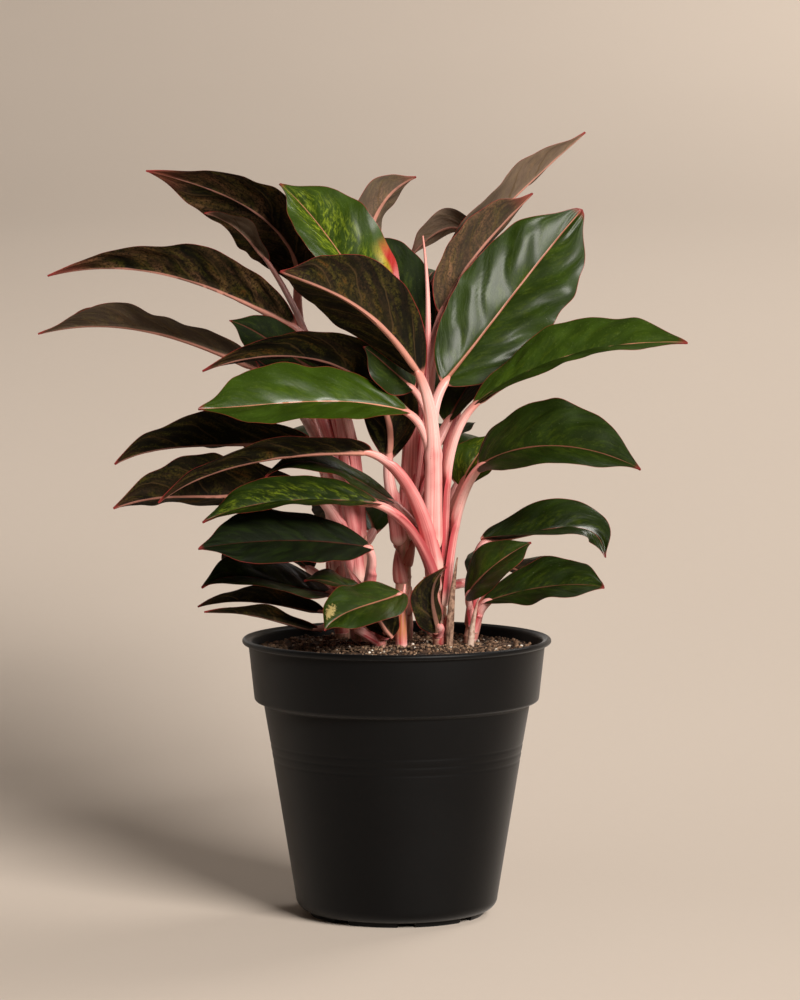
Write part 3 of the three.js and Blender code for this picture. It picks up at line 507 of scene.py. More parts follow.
# What a leaf is like where its own row below doesn't say.
USUAL_LEAF = dict(
    face=(0, 0, 1), twist=0, fold=(28, 28), widest=0.45, taper=1.6, stout=1, sheath=0.5,
    light=0.15, gold=0.08, gloss=0.2, dry=0, blush=0, rose=0.1, fade_and_sheen=0, rib=1)
leaves = {
    # stem, foot: the stem that bears the leaf, and where the leaf's stalk leaves the cane.
    # midrib: four points from the stalk to the tip; face: the way the upper side looks at the stalk;
    # twist: how far it has turned at the tip; fold: how far the left and right halves rise, in degrees.
    # widest, taper: where the blade is widest, and how quickly it narrows from there to both ends.
    # wave: the height of the margin's waves, their number, and where in a wave the blade begins.
    # stout, sheath, pallor: the stalk's thickness, the part that its sheath covers, and how
    # pale it is, partly its own cream colour and partly a painted highlight where it catches the light.
    # From 0 to 1, above: light, how bright the green is, partly the leaf's own tone and partly painted
    # light and shade, near black on leaves that lie in shadow and brighter on lit ones; gold, how much of
    # it is flecked with yellow; gloss; dry, a dried patch near the tip; blush, an edge flushed red. Below:
    # rose, how pink the mottling and the tip are; fade_and_sheen, how grey it is, partly its own greying
    # and partly a
    # painted grey sheen. rib: how wide and clear the pink midrib is.
    "left_1": dict(
        stem="rear_left", foot=(-24, 16, 214), width=56, face=(0, 60, 80), fold=(8, 0), rose=0.7,
        midrib=((-62, 50, 385), (-72, 52, 418), (-106, 48, 442), (-155, 36, 457))),
    "left_2": dict(
        stem="rear_left", foot=(-24, 18, 218), width=30, face=(60, 25, 75), fold=(25, 25),
        rose=0.9, fade_and_sheen=1,
        midrib=((-79, 38, 400), (-90, 38, 414), (-103, 38, 425), (-119, 38, 431))),
    "left_3": dict(
        stem="rear_left", foot=(-26, 14, 210), width=54, face=(0, 71, 71), twist=-35, fold=(32, 46),
        rose=0.8,
        midrib=((-62, 28, 360), (-108, 24, 383), (-158, 16, 397), (-214, 8, 393))),
    "left_4": dict(
        stem="rear_left", foot=(-26, 12, 206), width=48, face=(0, 5, 99), fold=(42, 38), wave=(4, 1.5, 0.2),
        fade_and_sheen=0.35,
        midrib=((-83, 16, 334), (-133, 8, 355), (-177, 2, 363), (-219, -4, 358))),
    "left_5": dict(
        stem="rear_left", foot=(-22, 16, 220), width=30, face=(0, -94, 34), fold=(8, 8), gloss=0,
        midrib=((-46, 17, 332), (-67, 17, 345), (-85, 17, 357), (-103, 17, 365))),
    "left_6": dict(
        stem="rear_far_left", foot=(-38, 48, 200), width=46, face=(0, 50, 85), fold=(25, 25),
        midrib=((-59, 50, 313), (-78, 66, 326), (-97, 88, 337), (-117, 112, 347))),
    "left_7": dict(
        stem="middle", foot=(2, 12, 226), width=54, face=(0, 47, 88), fold=(30, 30),
        midrib=((-6, -1, 279), (-15, -6, 325), (-59, -14, 345), (-118, -22, 336))),
    "left_8": dict(
        stem="front", foot=(24, -8, 216), width=56, face=(0, -66, 75), widest=0.52, fold=(32, 27),
        light=0.8, gloss=0.35,
        midrib=((9, -28, 311), (-35, -48, 319), (-78, -62, 318), (-118, -72, 316))),
    "left_9": dict(
        stem="rear_left", foot=(-24, 10, 202), width=54, face=(0, 45, 90), fold=(30, 32),
        midrib=((-52, 5, 292), (-99, -3, 291), (-140, -10, 289), (-172, -16, 279))),
    "left_10": dict(
        stem="rear_left", foot=(-24, 12, 196), width=58, face=(0, 59, 81), fold=(38, 30),
        midrib=((-56, -4, 264), (-103, -14, 260), (-138, -22, 260), (-172, -28, 253))),
    "left_11": dict(
        stem="front", foot=(24, -10, 210), width=47, face=(0, 14, 99), fold=(36, 28),
        stout=1.1, sheath=0.75,
        midrib=((-15, -36, 288), (-53, -46, 288), (-101, -54, 280), (-143, -60, 259))),
    "left_12": dict(
        stem="front", foot=(22, -5, 214), width=32, face=(0, -35, 94), fold=(15, 15),
        midrib=((0, -6, 254), (-27, -13, 271), (-54, -21, 281), (-80, -30, 272))),
    "left_13": dict(
        stem="front", foot=(25, -10, 200), width=44, face=(0, -42, 91), fold=(32, 28), light=0.2, gold=0.45,
        stout=1.1, sheath=0.75, pallor=0,
        midrib=((-9, -36, 256), (-46, -51, 260), (-83, -61, 258), (-116, -69, 248))),
    "left_14": dict(
        stem="left", foot=(-18, -14, 190), width=52, face=(0, -60, 80), widest=0.5, fold=(19, 19),
        light=0, gold=0, gloss=0, rib=0.5,
        midrib=((-14, -32, 229), (-49, -50, 235), (-85, -66, 236), (-118, -78, 233))),
    "left_15": dict(
        stem="left", foot=(-16, -12, 186), width=44, face=(0, -52, 86), fold=(32, 24), light=0.1,
        midrib=((-38, -10, 199), (-68, -24, 206), (-94, -34, 212), (-118, -42, 206))),
    "left_16": dict(
        stem="rear_left", foot=(-22, 14, 180), width=38, face=(0, 30, 95), fold=(30, 25), rib=0.4,
        midrib=((-44, 12, 185), (-74, 6, 192), (-100, 0, 194), (-122, -8, 191))),
    "left_17": dict(
        stem="left", foot=(-12, -14, 176), width=26, face=(0, 30, 95), fold=(25, 25), rib=0.4,
        midrib=((-46, -8, 176), (-76, -16, 185), (-96, -22, 189), (-117, -28, 190))),
    "left_18": dict(
        stem="left", foot=(-14, -14, 182), width=26, face=(0, -35, 94), fold=(25, 25),
        midrib=((-17, -22, 197), (-29, -28, 204), (-42, -33, 209), (-56, -38, 210))),
    "front_1": dict(
        stem="left", foot=(-10, -16, 174), width=38, face=(0, -70, 70), fold=(22, 18), light=0.4, dry=1,
        midrib=((4, -40, 203), (-12, -58, 199), (-30, -72, 194), (-43, -80, 184))),
    "front_2": dict(
        stem="front", foot=(27, -10, 172), width=26, face=(-60, 60, 20), fold=(35, 35), rib=0.35,
        midrib=((24, -24, 176), (22, -28, 188), (21, -31, 203), (30, -34, 218))),
    "front_3": dict(
        stem="left", foot=(-8, -18, 172), width=24, face=(20, 80, 50), fold=(25, 25),
        midrib=((-3, -30, 174), (-8, -33, 182), (-14, -36, 191), (-21, -38, 199))),
    "middle_1": dict(
        stem="front", foot=(20, -6, 220), width=34, face=(0, -80, 60), fold=(20, 20), light=0.2,
        midrib=((11, -18, 325), (0, -22, 334), (-10, -26, 343), (-20, -30, 351))),
    "right_1": dict(
        stem="front", foot=(25, -4, 220), width=64, face=(-10, -95, 30), widest=0.54, taper=1.3,
        fold=(26, 12), light=0.4, rib=1.5, gloss=0.2,
        midrib=((28, 0, 327), (52, 12, 356), (83, 28, 395), (115, 42, 433))),
    "right_2": dict(
        stem="front", foot=(27, -5, 206), width=50, face=(0, -48, 87), widest=0.56, fold=(36, 34),
        light=0.7,
        midrib=((45, -18, 314), (84, -26, 338), (127, -34, 351), (175, -42, 354))),
    "right_3": dict(
        stem="front", foot=(28, -7, 190), width=58, face=(0, -72, 70), fold=(34, 35), light=0.25, stout=1.1,
        midrib=((49, -20, 277), (76, -38, 290), (110, -52, 291), (146, -62, 279))),
    "right_4": dict(
        stem="right", foot=(47, 12, 178), width=44, face=(0, -20, 98), twist=40, fold=(24, 38), stout=0.85,
        gloss=0.4,
        midrib=((52, 10, 231), (83, 20, 234), (114, 28, 236), (129, 24, 218))),
    "right_5": dict(
        stem="right", foot=(46, 8, 176), width=36, face=(-40, -60, 60), fold=(22, 22), light=0.3,
        midrib=((42, -4, 196), (52, -14, 210), (66, -18, 222), (82, -14, 231))),
    "right_6": dict(
        stem="right", foot=(46, 10, 172), width=48, face=(0, -54, 84), widest=0.55, fold=(22, 28), rib=0.6,
        midrib=((52, 2, 192), (78, -1, 200), (104, -6, 204), (127, -12, 203))),
    "right_7": dict(
        stem="rear", foot=(26, 42, 218), width=30, face=(-30, -80, 50), fold=(20, 20), light=1, gold=1,
        midrib=((40, 22, 262), (45, 24, 274), (52, 28, 284), (59, 32, 294))),
    "right_8": dict(
        stem="middle", foot=(6, 14, 232), width=44, face=(-50, -60, 60), fold=(30, 30),
        midrib=((31, 28, 301), (44, 38, 324), (61, 50, 349), (80, 62, 376))),
    "right_9": dict(
        stem="rear", foot=(26, 46, 222), width=34, fold=(20, 20),
        midrib=((24, 60, 284), (30, 78, 292), (36, 96, 295), (42, 116, 294))),
    "top_1": dict(
        stem="middle", foot=(6, 14, 230), width=60, face=(30, -85, 40), fold=(45, 35), light=0.8, gold=0.9,
        blush=1,
        midrib=((-1, 0, 357), (-27, 8, 395), (-49, 18, 425), (-72, 26, 449))),
    "top_2": dict(
        stem="front", foot=(22, -12, 224), width=58, face=(-20, 80, 55), fold=(30, 48), rose=0.12,
        stout=1.15, pallor=0.95,
        midrib=((15, -34, 332), (-14, -54, 369), (-42, -68, 387), (-69, -78, 398))),
    "top_3": dict(
        stem="middle", foot=(4, 16, 232), width=38, face=(10, -98, 10), fold=(10, 10), gloss=0,
        midrib=((20, 31, 352), (5, 32, 383), (-8, 33, 402), (-22, 34, 416))),
    "top_4": dict(
        stem="rear", foot=(22, 48, 226), width=32, face=(-40, 70, 50), fold=(30, 30), rose=0.6, fade_and_sheen=0.5,
        midrib=((-24, 74, 396), (-16, 82, 424), (-5, 90, 442), (12, 96, 453))),
    "top_5": dict(
        stem="rear", foot=(26, 46, 228), width=30, face=(0, 50, 85), fold=(25, 25), rose=0.6, fade_and_sheen=1,
        midrib=((50, 78, 396), (42, 86, 420), (26, 92, 419), (8, 98, 402))),
    "top_6": dict(
        stem="rear", foot=(24, 44, 226), width=42, face=(-60, 50, 60), fold=(38, 20), fade_and_sheen=0.8,
        midrib=((26, 47, 394), (57, 57, 426), (87, 68, 454), (118, 80, 481))),
    "top_7": dict(
        stem="middle", foot=(6, 14, 226), width=44, face=(-50, 70, 50), fold=(45, 25), rose=1, fade_and_sheen=0.2,
        midrib=((27, 24, 368), (42, 30, 397), (62, 38, 421), (84, 46, 443))),
    "back_1": dict(
        stem="rear", foot=(22, 48, 224), width=56, light=0.5,
        midrib=((8, 66, 300), (4, 106, 322), (-4, 144, 326), (-14, 180, 312))),
    "back_2": dict(
        stem="rear", foot=(26, 46, 214), width=52, light=0.3, gold=0.3,
        midrib=((38, 66, 260), (54, 102, 278), (66, 136, 280), (76, 170, 266))),
    "back_3": dict(
        stem="rear_far_left", foot=(-38, 48, 204), width=54, light=0.6,
        midrib=((-46, 64, 270), (-66, 100, 286), (-82, 132, 284), (-96, 164, 268))),
    "back_4": dict(
        stem="rear_far_left", foot=(-36, 48, 200), width=54, light=0.3,
        midrib=((-14, 72, 228), (-22, 106, 242), (-34, 140, 238), (-50, 172, 220))),
    "back_5": dict(
        stem="rear_far_left", foot=(-36, 46, 186), width=48, light=0.2,
        midrib=((-54, 60, 206), (-74, 92, 216), (-93, 123, 210), (-112, 150, 192))),
    "back_6": dict(
        stem="rear", foot=(24, 44, 190), width=48, light=0.4, gold=0.4,
        midrib=((50, 60, 198), (66, 94, 206), (80, 126, 200), (92, 156, 184))),
    "back_7": dict(
        stem="rear", foot=(22, 48, 228), width=50, light=0.7,
        midrib=((14, 70, 350), (18, 102, 382), (24, 134, 392), (32, 166, 386))),
}

leaves = {name: {**USUAL_LEAF, **leaf} for name, leaf in leaves.items()}

BLADE_THICKNESS = 0.7
RIB_DROP = 1.5
RIB_HALF_WIDTH = 1.7
RIB_TAPER = 0.65
GROOVE_DEPTH = 0.5
VEIN_SPACING = 25
VEIN_SLANT = 0.75
VEIN_BEND = 0.45
QUILT_HEIGHT = 1.9
RIPPLE_HEIGHT = 3
RIPPLE_LENGTH = 17
MARGIN_WANDER = 0.07
MARGIN_WANDER_LENGTH = 13
MARGIN_CURL = radians(25)
TIP_START = 0.78
TIP_END = 0.97
TIP_SLIMMING = 0.45
CROWDING = 1.25
BASE_HALF_WIDTH = 1.5
TIP_HALF_WIDTH = 0.35
KEEL_RISE = 9
BIG_LEAF_WIDTH = 40


def curve_through(points):
    """The control points of the cubic curve that passes through four points at even steps."""
    start, first, second, end = (Vector(point) for point in points)
    lead = (-5 * start + 18 * first - 9 * second + 2 * end) / 6
    trail = (2 * start - 9 * first + 18 * second - 5 * end) / 6
    return start, lead, trail, end


def point_on(curve, t):
    start, lead, trail, end = curve
    return start * (1 - t) ** 3 + 3 * lead * t * (1 - t) ** 2 + 3 * trail * t**2 * (1 - t) + end * t**3


def heading_on(curve, t):
    start, lead, trail, end = curve
    slope = (lead - start) * (1 - t) ** 2 + 2 * (trail - lead) * t * (1 - t) + (end - trail) * t**2
    return slope.normalized()


def square_to(direction, axis):
    """The part of a direction that stands square to an axis."""
    return (direction - axis * direction.dot(axis)).normalized()


def wander(x, y, seed):
    """Smooth chance from about -0.5 to 0.5, a new one for each leaf's seed."""
    return noise.noise(Vector((x, y, seed * 90)))


def rib_length(leaf):
    points = [Vector(point) for point in leaf["midrib"]]
    return sum((b - a).length for a, b in zip(points, points[1:]))


def rolled(mesh, around, along, place):
    """Adds a grid rolled up into a closed skin; place(u, v) gives its points, in millimetres."""
    made = bmesh.ops.create_grid(mesh, x_segments=around, y_segments=along, size=0.5, calc_uvs=True)
    grid = made["verts"]
    for vert in grid:
        vert.co = place(vert.co.x + 0.5, vert.co.y + 0.5) / 1000
    edges = {edge for vert in grid for edge in vert.link_edges}
    bmesh.ops.remove_doubles(mesh, verts=grid, dist=2e-6)
    ends = [edge for edge in edges if edge.is_valid and edge.is_boundary]
    bmesh.ops.holes_fill(mesh, edges=ends, sides=0)


def blade_row(leaf, rib, length, seed, t):
    """The rib's place at t, the ways that the blade's face and right side look, and per side: half the
    blade's width and the lift of its wavy margin."""
    along = heading_on(rib, t)
    face = square_to(Vector(leaf["face"]), along)
    face.rotate(Matrix.Rotation(radians(leaf["twist"]) * t, 3, along))
    widest = leaf["widest"]
    rise = (t / widest) ** widest * ((1 - t) / (1 - widest)) ** (1 - widest)
    half = leaf["width"] / 2 * rise ** leaf["taper"]
    half *= 1 - TIP_SLIMMING * eased((t - TIP_START) / (TIP_END - TIP_START))
    least = BASE_HALF_WIDTH * (1 - t) + TIP_HALF_WIDTH * t
    middle = sin(pi * t)
    sides = {}
    for hand, default_phase in ((-1, 0.3), (1, 0)):
        height, count, phase = leaf.get("wave", (1.5, 2, default_phase))
        wave = height * sin(tau * (count * t + phase))
        wave += RIPPLE_HEIGHT * leaf["width"] / 50 * wander(t * length / RIPPLE_LENGTH, 5 * hand, seed)
        margin = 1 + MARGIN_WANDER * wander(t * length / MARGIN_WANDER_LENGTH, 3 * hand, seed)
        sides[hand] = (max(half * margin, least), wave * middle)
    return point_on(rib, t), face, along.cross(face), sides


def blade_point(leaf, length, row, seed, t, across, under):
    """A point of the blade's skin; across runs from -1 at its left edge to 1 at its right one."""
    centre, face, side, sides = row
    reach = abs(across)
    hand = copysign(1, across)
    half, wave = sides[hand]
    fold = radians(leaf["fold"][0 if across < 0 else 1])
    slope = fold - MARGIN_CURL * reach
    sideways = half * (sin(fold) - sin(slope)) / MARGIN_CURL * hand
    lift = half * (cos(slope) - cos(fold)) / MARGIN_CURL + wave * reach**2
    sweep = leaf["width"] / 2 * (VEIN_SLANT * reach + VEIN_BEND * reach**2)
    veins = (t * length - sweep) / VEIN_SPACING + (0.5 if across > 0 else 0)
    veins += 0.5 * wander(t * 4, across * 2, seed)
    pillow = abs(sin(pi * veins)) * (0.8 + wander(veins, 4 * hand, seed)) - 0.5
    slack = (reach * (1 - reach)) ** 0.6 * 2 * sqrt(sin(pi * t))
    lift += QUILT_HEIGHT * leaf["width"] / 60 * pillow * slack
    rib_half = RIB_HALF_WIDTH * (1 - RIB_TAPER * t)
    ribbed = max(0, 1 - (half * reach / rib_half) ** 2)
    lift -= GROOVE_DEPTH * ribbed * (1 - t)
    point = centre + side * sideways + face * lift
    if under:
        thickness = BLADE_THICKNESS * sqrt(max(0, 1 - reach**6))
        keel = (RIB_DROP * (1 - 0.8 * t) + GROOVE_DEPTH * (1 - t)) * sqrt(ribbed)
        keel *= eased(t * length / KEEL_RISE)
        facing = face * cos(slope) - side * sin(slope) * hand if reach else face
        point -= facing * (thickness + keel)
    return point


LEAF_TRAITS = ("length", "width", "seed")
LEAF_TRAITS += ("light", "gold", "gloss", "dry", "blush", "rose", "fade_and_sheen", "rib")
leaf_paint = Paint("leaf", IOR=1.45, Specular_IOR_Level=0.14, Coat_Roughness=0.23)
grain = leaf_paint.grain
u, v = leaf_paint.around_and_along()
trait = leaf_paint.traits(LEAF_TRAITS)
upper = u < 0.5
across = 1 - abs(u * 2 - 1) * 2
right = across > 0
reach = abs(across) ** CROWDING
middle = (v * pi).sine()
half_width = trait["width"] * 0.5 * (middle + 0.04)
along = v * trait["length"]
spread = leaf_paint.vector(reach * half_width * (right * 2 - 1), along, trait["seed"] * 60)
blotches = grain(spread, 0.055, detail=3)
flecks = grain(spread, 0.75, detail=3, rough=0.7)
cells = grain(spread, 2.6, detail=1)
sweep = trait["width"] * 0.5 * (reach * VEIN_SLANT + reach * reach * VEIN_BEND)
veins = (along - sweep) / VEIN_SPACING + right * 0.5 + (blotches - 0.5) * 0.5
vein_line = 1 - veins.bounced(0.5).step(0.012, 0.05)
vein_line = vein_line * (1 - reach.step(0.6, 0.95)) * reach.step(0.02, 0.1)
flow = leaf_paint.vector(veins * 2, reach * 1.5 + right * 5, trait["seed"] * 17)
streaks = grain(flow, 1.6, detail=5, rough=0.62)
fine = grain(flow, 4.5, detail=4, rough=0.7)
crinkles = grain(flow, 2.1, detail=3)

rib_half = (1 - v * RIB_TAPER) * (trait["rib"] * 0.6 + 0.4) * RIB_HALF_WIDTH
rib_distance = reach * half_width / rib_half
rib_line = 1 - rib_distance.step(0.25 + 0.1 * (1 - upper), 0.5 + 0.25 * (1 - upper))
edge_distance = (1 - reach) * half_width
edge_line = 1 - edge_distance.step(0.1, 0.4)
tip = v.step(0.955, 1)
base = 1 - v.step(0.004, 0.035)

# The paler green blotches are the leaf's own mottling, but they grow with the light trait, so they are also
# painted light: strong on lit leaves and gone on leaves painted as lying in shadow.
blotched_and_lit = blotches.step(0.4, 0.7) * 0.55 * trait["light"] + streaks.step(0.4, 0.7) * 0.12
golden = fine.step(0.42, 0.66) * streaks.step(0.4, 0.58) * (1 - reach.step(0.25, 0.9))
blush = trait["blush"] * right * (1 - v.step(0.3, 0.42)) * v.step(0.05, 0.15)
# The midrib and the green under the blotches darken as the light trait falls: painted shade on leaves that
# lie in shadow, and painted light on lit ones.
rib_colour = leaf_paint.mixed(trait["light"], (0.09, 0.01, 0.009), (0.7, 0.3, 0.18))
green = leaf_paint.coated(
    leaf_paint.mixed(trait["light"], (0.003, 0.0052, 0.0008), (0.026, 0.05, 0.0022)),
    (blotched_and_lit, (0.042, 0.08, 0.004)),
    (golden * trait["gold"], (0.22, 0.28, 0.015)),
    (flecks.step(0.58, 0.7) * trait["light"] * 0.6, (0.08, 0.12, 0.02)),
    (blush * reach.step(0.55, 0.75) * flecks.step(0.2, 0.5), (0.35, 0.26, 0.02)),
    (blush * reach.step(0.76, 0.86), (0.36, 0.02, 0.015)),
    (rib_line * (1 - v * 0.3) * trait["rib"] * 0.9, rib_colour),
)
mottled = streaks.step(0.44, 0.64) * flecks.step(0.34, 0.62)
rusty = streaks.step(0.52, 0.68) * blotches.step(0.48, 0.6) * flecks.step(0.3, 0.6)
rosy = trait["rose"] * grain(flow, 0.7, detail=4).step(0.35, 0.8)
bronze = leaf_paint.coated(
    leaf_paint.mixed(blotches.step(0.35, 0.7), (0.0022, 0.0018, 0.0003), (0.008, 0.0064, 0.0009)),
    (mottled * 0.85, (0.042, 0.036, 0.004)),
    (rusty * 0.8, (0.08, 0.03, 0.006)),
    (rosy * flecks.step(0.3, 0.6) * fine.step(0.3, 0.6), (0.25, 0.12, 0.055)),
    # A grey coat over the underside, partly the leaf's own greying and partly a painted grey sheen where
    # the light glances off it.
    (trait["fade_and_sheen"] * (0.4 + 0.45 * fine), (0.24, 0.165, 0.115)),
    (trait["rose"] * v.step(0.8, 1) * 0.7, (0.24, 0.055, 0.04)),
    (vein_line * 0.5, (0.07, 0.04, 0.014)),
    (rib_line * (1 - v * 0.6) * trait["rib"], (0.55, 0.24, 0.18)),
)
patch = abs(v - 0.8).step(0, 0.16) + abs(reach - 0.5).step(0, 0.5)
patch = trait["dry"] * right * (1 - (patch + (flecks - 0.5) * 2.2).step(0.2, 0.7))
dust = grain(spread, 1.2, detail=1).step(0.74, 0.82) * blotches.step(0.4, 0.6)
colour = leaf_paint.coated(
    leaf_paint.mixed(upper, bronze, green),
    (tip * 0.9, (0.22, 0.022, 0.022)),
    (base, (0.62, 0.22, 0.17)),
    (edge_line * 0.85, (0.24, 0.024, 0.02)),
    (patch, (0.34, 0.26, 0.1)),
    (dust * upper * 0.35, (0.3, 0.3, 0.24)),
)
leaf_paint.feed(
    Base_Color=colour,
    Roughness=0.72 - upper * (trait["gloss"] * 0.8 + 0.12) + blotches * 0.08 + crinkles * 0.06,
    Coat_Weight=upper * trait["gloss"] * 0.8,
    Normal=leaf_paint.relief(crinkles * 0.75 + cells * 0.14 + flecks * 0.1, 0.0011, 0.7),
)

seeds = random.Random(21)
for name, leaf in leaves.items():
    rib = curve_through(leaf["midrib"])
    length = rib_length(leaf)
    seed = seeds.random()
    around = 72 if leaf["width"] > BIG_LEAF_WIDTH else 56
    steps = 24 + int(length / 2.6)
    rows = [blade_row(leaf, rib, length, seed, i / steps) for i in range(steps + 1)]
    mesh = bmesh.new()
    mesh.loops.layers.uv.new("UVMap")

    def on_blade(u, v):
        under = u > 0.5
        even = 3 - 4 * u if under else 4 * u - 1
        across = copysign(abs(even) ** CROWDING, even)
        return blade_point(leaf, length, rows[round(v * steps)], seed, v, across, under)

    rolled(mesh, around, steps, on_blade)
    values = {**leaf, "length": length, "seed": seed}
    for key in LEAF_TRAITS:
        layer = mesh.verts.layers.float.new(key)
        for vert in mesh.verts:
            vert[layer] = values[key]
    blade = standing(f"blade_{name}", mesh, leaf_paint, crease=70)
    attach(blade, "root")
    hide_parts(f"leaf_{name}")


# Stems: upright canes wrapped in the tan and pink bases of fallen leaves, with fleshy stalks round them.
# Each stalk clasps its cane with a red-lipped sheath that is open on one side and ends part of the way up.

stems = {
    "front": dict(foot=(27, -8), crown=(23, -5, 222), radius=6),
    "left": dict(foot=(-10, -14), crown=(-18, -12, 196), radius=5),
    "rear_left": dict(foot=(-22, 14), crown=(-24, 14, 224), radius=6),
    "middle": dict(foot=(4, 14), crown=(4, 14, 236), radius=6),
    "right": dict(foot=(45, 10), crown=(47, 10, 182), radius=4.5),
    "rear": dict(foot=(24, 42), crown=(24, 46, 228), radius=6),
    "rear_far_left": dict(foot=(-34, 42), crown=(-38, 48, 208), radius=5.5),
}
STALK_HALF_WIDTH = 2.4
STALK_OVERLAP = 8
STALK_SINK = 1.4
SHEATH_HALF_WIDTH = 5.2
SHEATH_HALF_DEPTH = 4.2
EAR_HEIGHT = 0.16
CANE_BOTTOM = 111.8
CANE_BEND = 170.5
CANE_RING_SPACING = 9
OLD_BASES_START = 166
STALK_ROWS = 60
GROWTH_ROWS = 60
OLD_BASE_ROWS = 30


def stalk_curve(leaf):
    """From the stalk's foot on the cane, upward at first, into the line of the midrib and a little on."""
    rib = curve_through(leaf["midrib"])
    along = heading_on(rib, 0)
    foot = Vector(leaf["foot"])
    end = point_on(rib, 0) + along * STALK_OVERLAP
    length = (end - foot).length
    start = ((end - foot).normalized() * 0.4 + Vector((0, 0, 1))).normalized()
    return foot, foot + start * length * 0.38, end - along * length * 0.3, end


def add_tube(mesh, around, along, place, **values):
    """Adds a rolled grid to a mesh and gives its points their values of the traits that the mesh has."""
    before = len(mesh.verts)
    rolled(mesh, around, along, place)
    mesh.verts.ensure_lookup_table()
    for name, layer in mesh.verts.layers.float.items():
        for vert in mesh.verts[before:]:
            vert[layer] = values.get(name, 0)


def add_growth(mesh, growth, rows, squeeze, **values):
    """A tube of changing width along a smooth line; squeeze(u, v) widens or narrows it."""
    first, second, last = (Vector(point) for point in growth["route"])
    wide, waist, narrow = growth["radii"]

    def on_growth(u, v):
        centre = first * (1 - v) ** 2 + 2 * second * v * (1 - v) + last * v**2
        along = ((second - first) * (1 - v) + (last - second) * v).normalized()
        front = square_to(Vector((0, -1, 0)), along)
        side = along.cross(front)
        radius = (wide * (1 - v) ** 2 + 2 * waist * v * (1 - v) + narrow * v**2) * squeeze(u, v)
        turn = tau * u
        return centre + (side * cos(turn) + front * sin(turn)) * radius

    add_tube(mesh, 24, rows, on_growth, **values)


def rolled_up(u, v):
    """Slightly fatter at one side, where the young blade's edge lies on itself."""
    return 1 + 0.12 * exp(-(((u - 0.6) * 14) ** 2)) * (1 - v)


def rounded_foot(v, length):
    """Rises from almost 0 at the foot to 1 as a quarter circle does, over a part of the whole length."""
    return sqrt(1 - (1 - min(1, (v + 0.004) / length)) ** 2)


def clasping(u, v):
    """Round at its foot, with one edge lapped over the other."""
    return rounded_foot(v, 0.15) * (1 + 0.2 * exp(-(((u - 0.6) * 9) ** 2)))


def add_stalk(mesh, leaf, pallor):
    curve = stalk_curve(leaf)
    size = 1 if leaf["width"] > BIG_LEAF_WIDTH else 0.75
    low_size = size * leaf["stout"]
    sheath_end = leaf["sheath"]
    rows = STALK_ROWS
    faces = []
    face = Vector(leaf["face"])
    for i in range(rows, -1, -1):
        face = square_to(face, heading_on(curve, i / rows))
        faces.insert(0, face)
    centres = [point_on(curve, i / rows) for i in range(rows + 1)]
    stalk_length = sum((b - a).length for a, b in zip(centres, centres[1:]))

    def on_stalk(u, v):
        facing = faces[round(v * rows)]
        side = heading_on(curve, v).cross(facing)
        sheath = (1 - v) ** 0.8
        wrap = 1 / (1 + exp((v - sheath_end) * 70))
        ear = EAR_HEIGHT * exp(-(((v - sheath_end + 0.02) / 0.03) ** 2))
        past = max(0, 1 - (1 - v) * stalk_length / STALK_OVERLAP)
        rounding = rounded_foot(v, 0.09) * sqrt(1 - past * past)
        slim = size * STALK_HALF_WIDTH * (1 - sheath)
        half_width = (slim + low_size * SHEATH_HALF_WIDTH * sheath) * rounding * (1 + 0.1 * wrap + ear)
        half_depth = (slim + low_size * SHEATH_HALF_DEPTH * sheath) * rounding
        turn = tau * u - pi / 2
        out = sin(turn)
        across = cos(turn)
        depth = half_depth * out
        if out > 0:
            flat = 1 - 0.4 * eased((v - 0.85) / 0.15)
            channel = wrap * (0.75 * abs(across) ** 3 - 0.15)
            depth = half_depth * (out * flat * (0.75 - 0.5 * wrap) + channel)
        depth -= STALK_SINK * past**2
        return centres[round(v * rows)] + side * half_width * across + facing * depth

    add_tube(mesh, 32, rows, on_stalk, pallor=pallor, sheath_end=sheath_end)


def cane_middle(stem, z):
    """The middle of a cane at a height."""
    foot = Vector((*stem["foot"], CANE_BEND))
    if z < CANE_BEND:
        return Vector((foot.x, foot.y, z))
    crown = Vector(stem["crown"])
    return foot.lerp(crown, (z - CANE_BEND) / (crown.z - CANE_BEND))


def add_cane(mesh, stem):
    crown = Vector(stem["crown"])

    def on_cane(u, v):
        z = CANE_BOTTOM + (crown.z + 6 - CANE_BOTTOM) * v
        ring = 0.45 * max(0, cos(tau * z / CANE_RING_SPACING)) ** 8
        taper = 1 - 0.15 * v if z < crown.z else (0.85 - 0.08 * (z - crown.z))
        radius = stem["radius"] * 0.9 * taper + ring
        turn = tau * u
        return cane_middle(stem, z) + Vector((cos(turn), sin(turn), 0)) * radius

    add_tube(mesh, 24, 100, on_cane, age=1)


def add_old_bases(mesh, stem):
    """The withering bases of fallen leaves, one above the other, each a third of a turn on."""
    z = OLD_BASES_START
    turn = chance.uniform(0, tau)
    while z < stem["crown"][2] - 6:
        out = Vector((cos(turn), sin(turn), 0))
        height = chance.uniform(18, 34)
        reach = stem["radius"] + chance.uniform(0, 1.5)
        steps = ((0, 0.5), (height / 2, 2), (height, reach))
        route = [cane_middle(stem, z + rise) + out * away for rise, away in steps]
        growth = dict(route=route, radii=(stem["radius"] * 0.8, stem["radius"], 0.4))
        pallor = chance.uniform(0, 0.8)
        age = chance.uniform(0.1, 0.9)
        add_growth(mesh, growth, OLD_BASE_ROWS, clasping, pallor=pallor, sheath_end=0.9, age=age)
        z += chance.uniform(7, 12)
        turn += tau * 0.37


